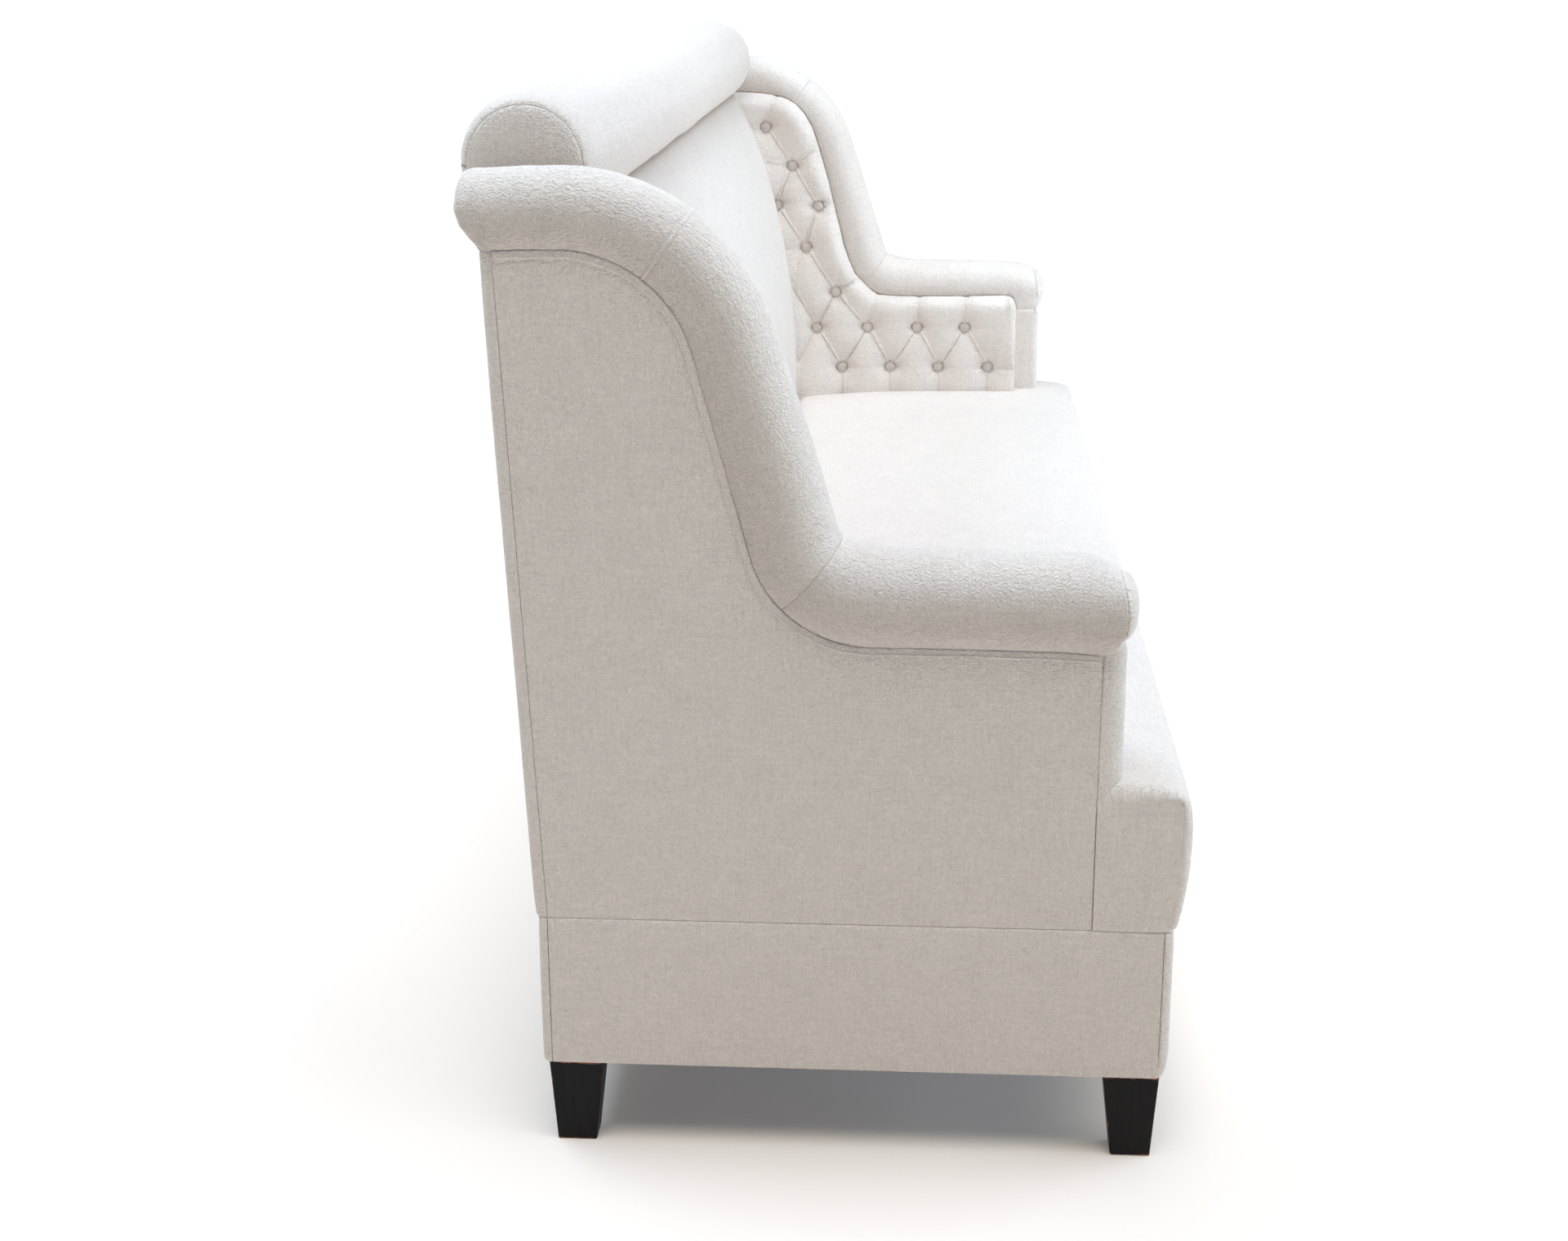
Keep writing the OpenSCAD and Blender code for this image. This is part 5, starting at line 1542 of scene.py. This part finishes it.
def outside_back():
    r = 12.0
    pts = []
    for t in np.concatenate([[0, 1.5, 3.5, 6, 9, 13], np.linspace(18, 90, 12)]):
        pts.append((-W2 + r - r * math.cos(rad(t)), -0.6 + 14.6 * math.sin(rad(t))))
    left = np.array(pts)
    mid = np.stack([np.linspace(-W2 + r + 4, W2 - r - 4, 300), np.full(300, 14.0)], 1)
    rp = left[::-1].copy()
    rp[:, 0] *= -1
    plan = np.concatenate([left, mid, rp])
    d = np.concatenate([[0], np.cumsum(np.linalg.norm(np.diff(plan, axis=0), axis=1))])
    tg = np.gradient(plan, axis=0)
    tg /= np.linalg.norm(tg, axis=1, keepdims=True)
    nr = np.stack([-tg[:, 1], tg[:, 0]], 1)
    H = (SEAM_W - 298) / math.cos(rad(RAKE)) - 1.5
    zr = spaced(H, 9.0, edge=(0.3, 0.8, 1.5, 2.5, 4, 6))
    ez = np.minimum(zr, H - zr)
    es = np.minimum(d, d[-1] - d)
    P = np.stack([np.repeat(plan[:, None, 0], len(zr), 1), np.repeat(zr[None, :], len(plan), 0), np.zeros((len(plan), len(zr)))], -1).reshape(-1, 3)
    h = (0.9 * wavy(P, (260, 200, 60), 71, 2) + 0.2 * (crinkle(P, 17, 72) - 0.45)).reshape(len(plan), len(zr))
    h = h * (smooth01(ez / 14)[None, :] * smooth01(es / 14)[:, None]) + 1.2 * (1 - np.exp(-ez / 40))[None, :] * smooth01(es / 14)[:, None]
    h -= (roll_in_edge(ez, 2.4))[None, :] * 0.9
    h -= (roll_in_edge(es, 0.8))[:, None] * 0.9
    lx = plan[:, None, 0] + nr[:, None, 0] * h
    ly = plan[:, None, 1] + nr[:, None, 1] * h
    c, s = math.cos(rad(RAKE)), math.sin(rad(RAKE))
    G = np.stack([lx, 329.0 + ly * c + (zr[None, :] + 0.6) * s, 298 - ly * s + (zr[None, :] + 0.6) * c], -1)
    fab = np.stack([np.repeat(d[:, None], len(zr), 1), np.repeat(zr[None, :], len(plan), 0), np.full(h.shape, 700.0)], -1)
    me = mesh_data("outside_back", G, grid_faces(*h.shape), fab=fab)

    def back(p):
        # straight onto the plane between the posts and the panel
        y, z = p[1] - 329.0, p[2] - 298
        ly0 = y * c - z * s
        lz0 = y * s + z * c
        ly1 = -0.2
        return [p[0], 329.0 + ly1 * c + lz0 * s, 298 - ly1 * s + lz0 * c]
    close_open(me, back)
    return piece("outside_back", me, M_LINEN, ["outside_back"])


outside_back()


# ---------------------------------------------------------------- legs
def leg(name, cx, cy, nodes):
    tx, ty, fx, fy = 48.0, 66.0, 37.0, 47.0
    z0, z1 = 0.4, 108.0
    out = -1 if cy < 0 else 1
    # a rounded rectangle, tapered; rows close together at the foot's rounded edge
    def ring(hx, hy, r, m=5):
        pts = []
        for q, (sx, sy) in enumerate(((1, 1), (-1, 1), (-1, -1), (1, -1))):
            a0 = q * 90
            for k in range(m + 1):
                a = rad(a0 + 90 * k / m)
                pts.append((sx * (hx - r) + r * math.cos(a), sy * (hy - r) + r * math.sin(a)))
            nxt = ((-1, 1), (-1, -1), (1, -1), (1, 1))[q]
            ax0, ay0 = pts[-1]
            bx, by = (nxt[0] * (hx - r) + r * math.cos(rad(a0 + 90)), nxt[1] * (hy - r) + r * math.sin(rad(a0 + 90)))
            for k in range(1, 6):
                pts.append((ax0 + (bx - ax0) * k / 6, ay0 + (by - ay0) * k / 6))
        return np.array(pts)
    zs = np.concatenate([z0 + np.array([0, 0.12, 0.35, 0.7, 1.2]), np.linspace(z0 + 6, z1 - 4, 24), [z1 - 1.6, z1 - 0.8, z1 - 0.2, z1]])
    rows, att = [], []
    for z in zs:
        f = (z - z0) / (z1 - z0)
        hx, hy = (fx + (tx - fx) * f) / 2, (fy + (ty - fy) * f) / 2
        dz = z - z0
        cut = 1.2 - math.sqrt(max(0, 1.44 - (1.2 - min(1.2, dz)) ** 2)) if dz < 1.2 else 0
        dt = z1 - z
        cut += 0.8 - math.sqrt(max(0, 0.64 - (0.8 - min(0.8, dt)) ** 2)) if dt < 0.8 else 0
        R = ring(hx - cut, hy - cut, 1.7)
        rows.append(np.column_stack([R[:, 0] + cx, R[:, 1] + cy + out * 3.0 * (1 - f), np.full(len(R), z)]))
        att.append(np.column_stack([R[:, 0] / hx, R[:, 1] / hy, np.full(len(R), f)]))
    G = np.array(rows)
    A = np.array(att)
    me = mesh_data(name, G, grid_faces(G.shape[0], G.shape[1], wrap_v=True), extra={"leg": A})
    close_open(me, None)
    return piece(name, me, M_BLACK, nodes, angle=35)


lx = W2 - 4 - 24
fy_, by_ = -402 + 8.5 + 33, 340 - 6.5 - 33
for nm, x, y in (("leg_front_left", -lx, fy_), ("leg_front_right", lx, fy_), ("leg_back_left", -lx, by_), ("leg_back_right", lx, by_),
                 ("leg_centre_front", 0, fy_), ("leg_centre_back", 0, by_)):
    leg(nm, x, y, [nm])

# ---------------------------------------------------------------- floor and light
def floor_mat():
    m, nt, b = new_material("studio_floor")
    tc = node(nt, "ShaderNodeTexCoord")
    f = noise(nt, mapped(nt, tc.outputs["Object"], (1.2, 1.2, 1.2)), detail=2.0)
    nt.links.new(ramp(nt, f, [(0.3, (0.897, 0.797, 0.712)), (0.7, (0.903, 0.803, 0.718))]), b.inputs["Base Color"])
    # away from the object the floor glows, more the farther off: painted light standing for the sweep washed out by its
    # own lights, which also lights the object from below
    sep = node(nt, "ShaderNodeSeparateXYZ")
    nt.links.new(tc.outputs["Object"], sep.inputs[0])
    dx = math_node(nt, "MAXIMUM", math_node(nt, "SUBTRACT", math_node(nt, "ABSOLUTE", sep.outputs[0]), 1.2), 0.0)
    dy = math_node(nt, "MAXIMUM", math_node(nt, "SUBTRACT", math_node(nt, "ABSOLUTE", sep.outputs[1]), 0.4), 0.0)
    away = math_node(nt, "SQRT", math_node(nt, "ADD", math_node(nt, "MULTIPLY", dx, dx), math_node(nt, "MULTIPLY", dy, dy)))
    got = []
    for lo_d, hi_d, most in ((0.22, 0.75, 0.085), (1.6, 3.6, 0.22)):
        mr = node(nt, "ShaderNodeMapRange", interpolation_type="SMOOTHSTEP")
        for key, val in (("From Min", lo_d), ("From Max", hi_d), ("To Min", 0.0), ("To Max", most)):
            mr.inputs[key].default_value = val
        nt.links.new(away, mr.inputs["Value"])
        got.append(mr.outputs[0])
    b.inputs["Emission Color"].default_value = (0.66, 0.85, 1.0, 1)
    nt.links.new(math_node(nt, "ADD", got[0], got[1]), b.inputs["Emission Strength"])
    b.inputs["Roughness"].default_value = 0.95
    b.inputs["Specular IOR Level"].default_value = 0.1
    return m


fm = bpy.data.meshes.new("floor")
N = 24
cs = np.sinh(np.linspace(-1, 1, N) * 4.5) / math.sinh(4.5) * 220.0
gx, gy = np.meshgrid(cs, cs, indexing="ij")
fm = mesh_data("floor", np.stack([gx, gy, np.zeros_like(gx)], -1) * 1000, grid_faces(N, N))
floor = bpy.data.objects.new("floor", fm)
scene.collection.objects.link(floor)
fm.materials.append(floor_mat())

world = bpy.data.worlds.new("studio")
scene.world = world
world.use_nodes = True
wn = world.node_tree
bg = wn.nodes["Background"]
bg.inputs["Color"].default_value = (1.0, 1.0, 1.0, 1)
# a pale studio wall, seen just above the floor's far edge, dark above
wtc = node(wn, "ShaderNodeTexCoord")
wsp = node(wn, "ShaderNodeSeparateXYZ")
wmr = node(wn, "ShaderNodeMapRange", interpolation_type="SMOOTHSTEP")
wn.links.new(wtc.outputs["Generated"], wsp.inputs[0])
wn.links.new(wsp.outputs[2], wmr.inputs["Value"])
for key, val in (("From Min", 0.05), ("From Max", 0.15), ("To Min", 0.15), ("To Max", 0.0)):
    wmr.inputs[key].default_value = val
wn.links.new(wmr.outputs[0], bg.inputs["Strength"])


def tint(rgb):
    m = max(rgb)
    return m, tuple(c / m for c in rgb)


def area(name, loc, target, size, watts, spread=180):
    d = bpy.data.lights.new(name, "AREA")
    d.shape = "RECTANGLE"
    d.size, d.size_y = size
    d.energy, d.color = tint(watts)
    d.spread = rad(spread)
    o = bpy.data.objects.new(name, d)
    o.location = loc
    o.rotation_mode = "QUATERNION"
    o.rotation_quaternion = (Vector(target) - Vector(loc)).to_track_quat("-Z", "Y")
    scene.collection.objects.link(o)


def sun(name, strength, spread, travel, shadow=True):
    d = bpy.data.lights.new(name, "SUN")
    d.energy, d.color = tint(strength)
    d.angle = rad(spread)
    d.use_shadow = shadow
    o = bpy.data.objects.new(name, d)
    o.rotation_mode = "QUATERNION"
    o.rotation_quaternion = Vector(travel).to_track_quat("-Z", "Y")
    scene.collection.objects.link(o)


# large soft sources overhead, a lower one in front, and small fills over the seat
sun("top_wide", (0.0, 0.184, 0.757), 40, (0, 0, -1))
sun("top_left", (0.217, 0.225, 0.076), 25, (-0.26, 0, -0.97))
sun("top_right", (1.217, 1.158, 0.965), 25, (0.26, 0, -0.97))
sun("top_front", (1.159, 1.289, 1.309), 50, (0, 0.57, -0.82))
sun("top_back", (0.283, 0.296, 0.243), 40, (0, -0.5, -0.87))
sun("top_lift", (0.459, 0.507, 0.574), 1, (0, 0, -1), shadow=False)
area("over_seat", (-0.55, -0.5, 2.2), (-0.2, 0.0, 0.6), (0.9, 0.9), (4.1, 4.43, 5.79))
area("over_back", (0.0, 1.6, 2.6), (0.0, 0.2, 1.0), (2.4, 0.8), (28.96, 36.53, 45.11))
area("inside_fill", (-0.9, -0.5, 1.5), (1.1, -0.05, 0.65), (0.5, 0.5), (0.95, 1.11, 1.20), 60)
area("front_low", (0.3, -3.2, 0.7), (0.2, 0.2, 0.6), (2.5, 1.0), (32.62, 40.9, 50.18))

scene.view_settings.view_transform = "Standard"
scene.view_settings.look = "None"
scene.view_settings.exposure = 0.0
scene.view_settings.gamma = 1.0
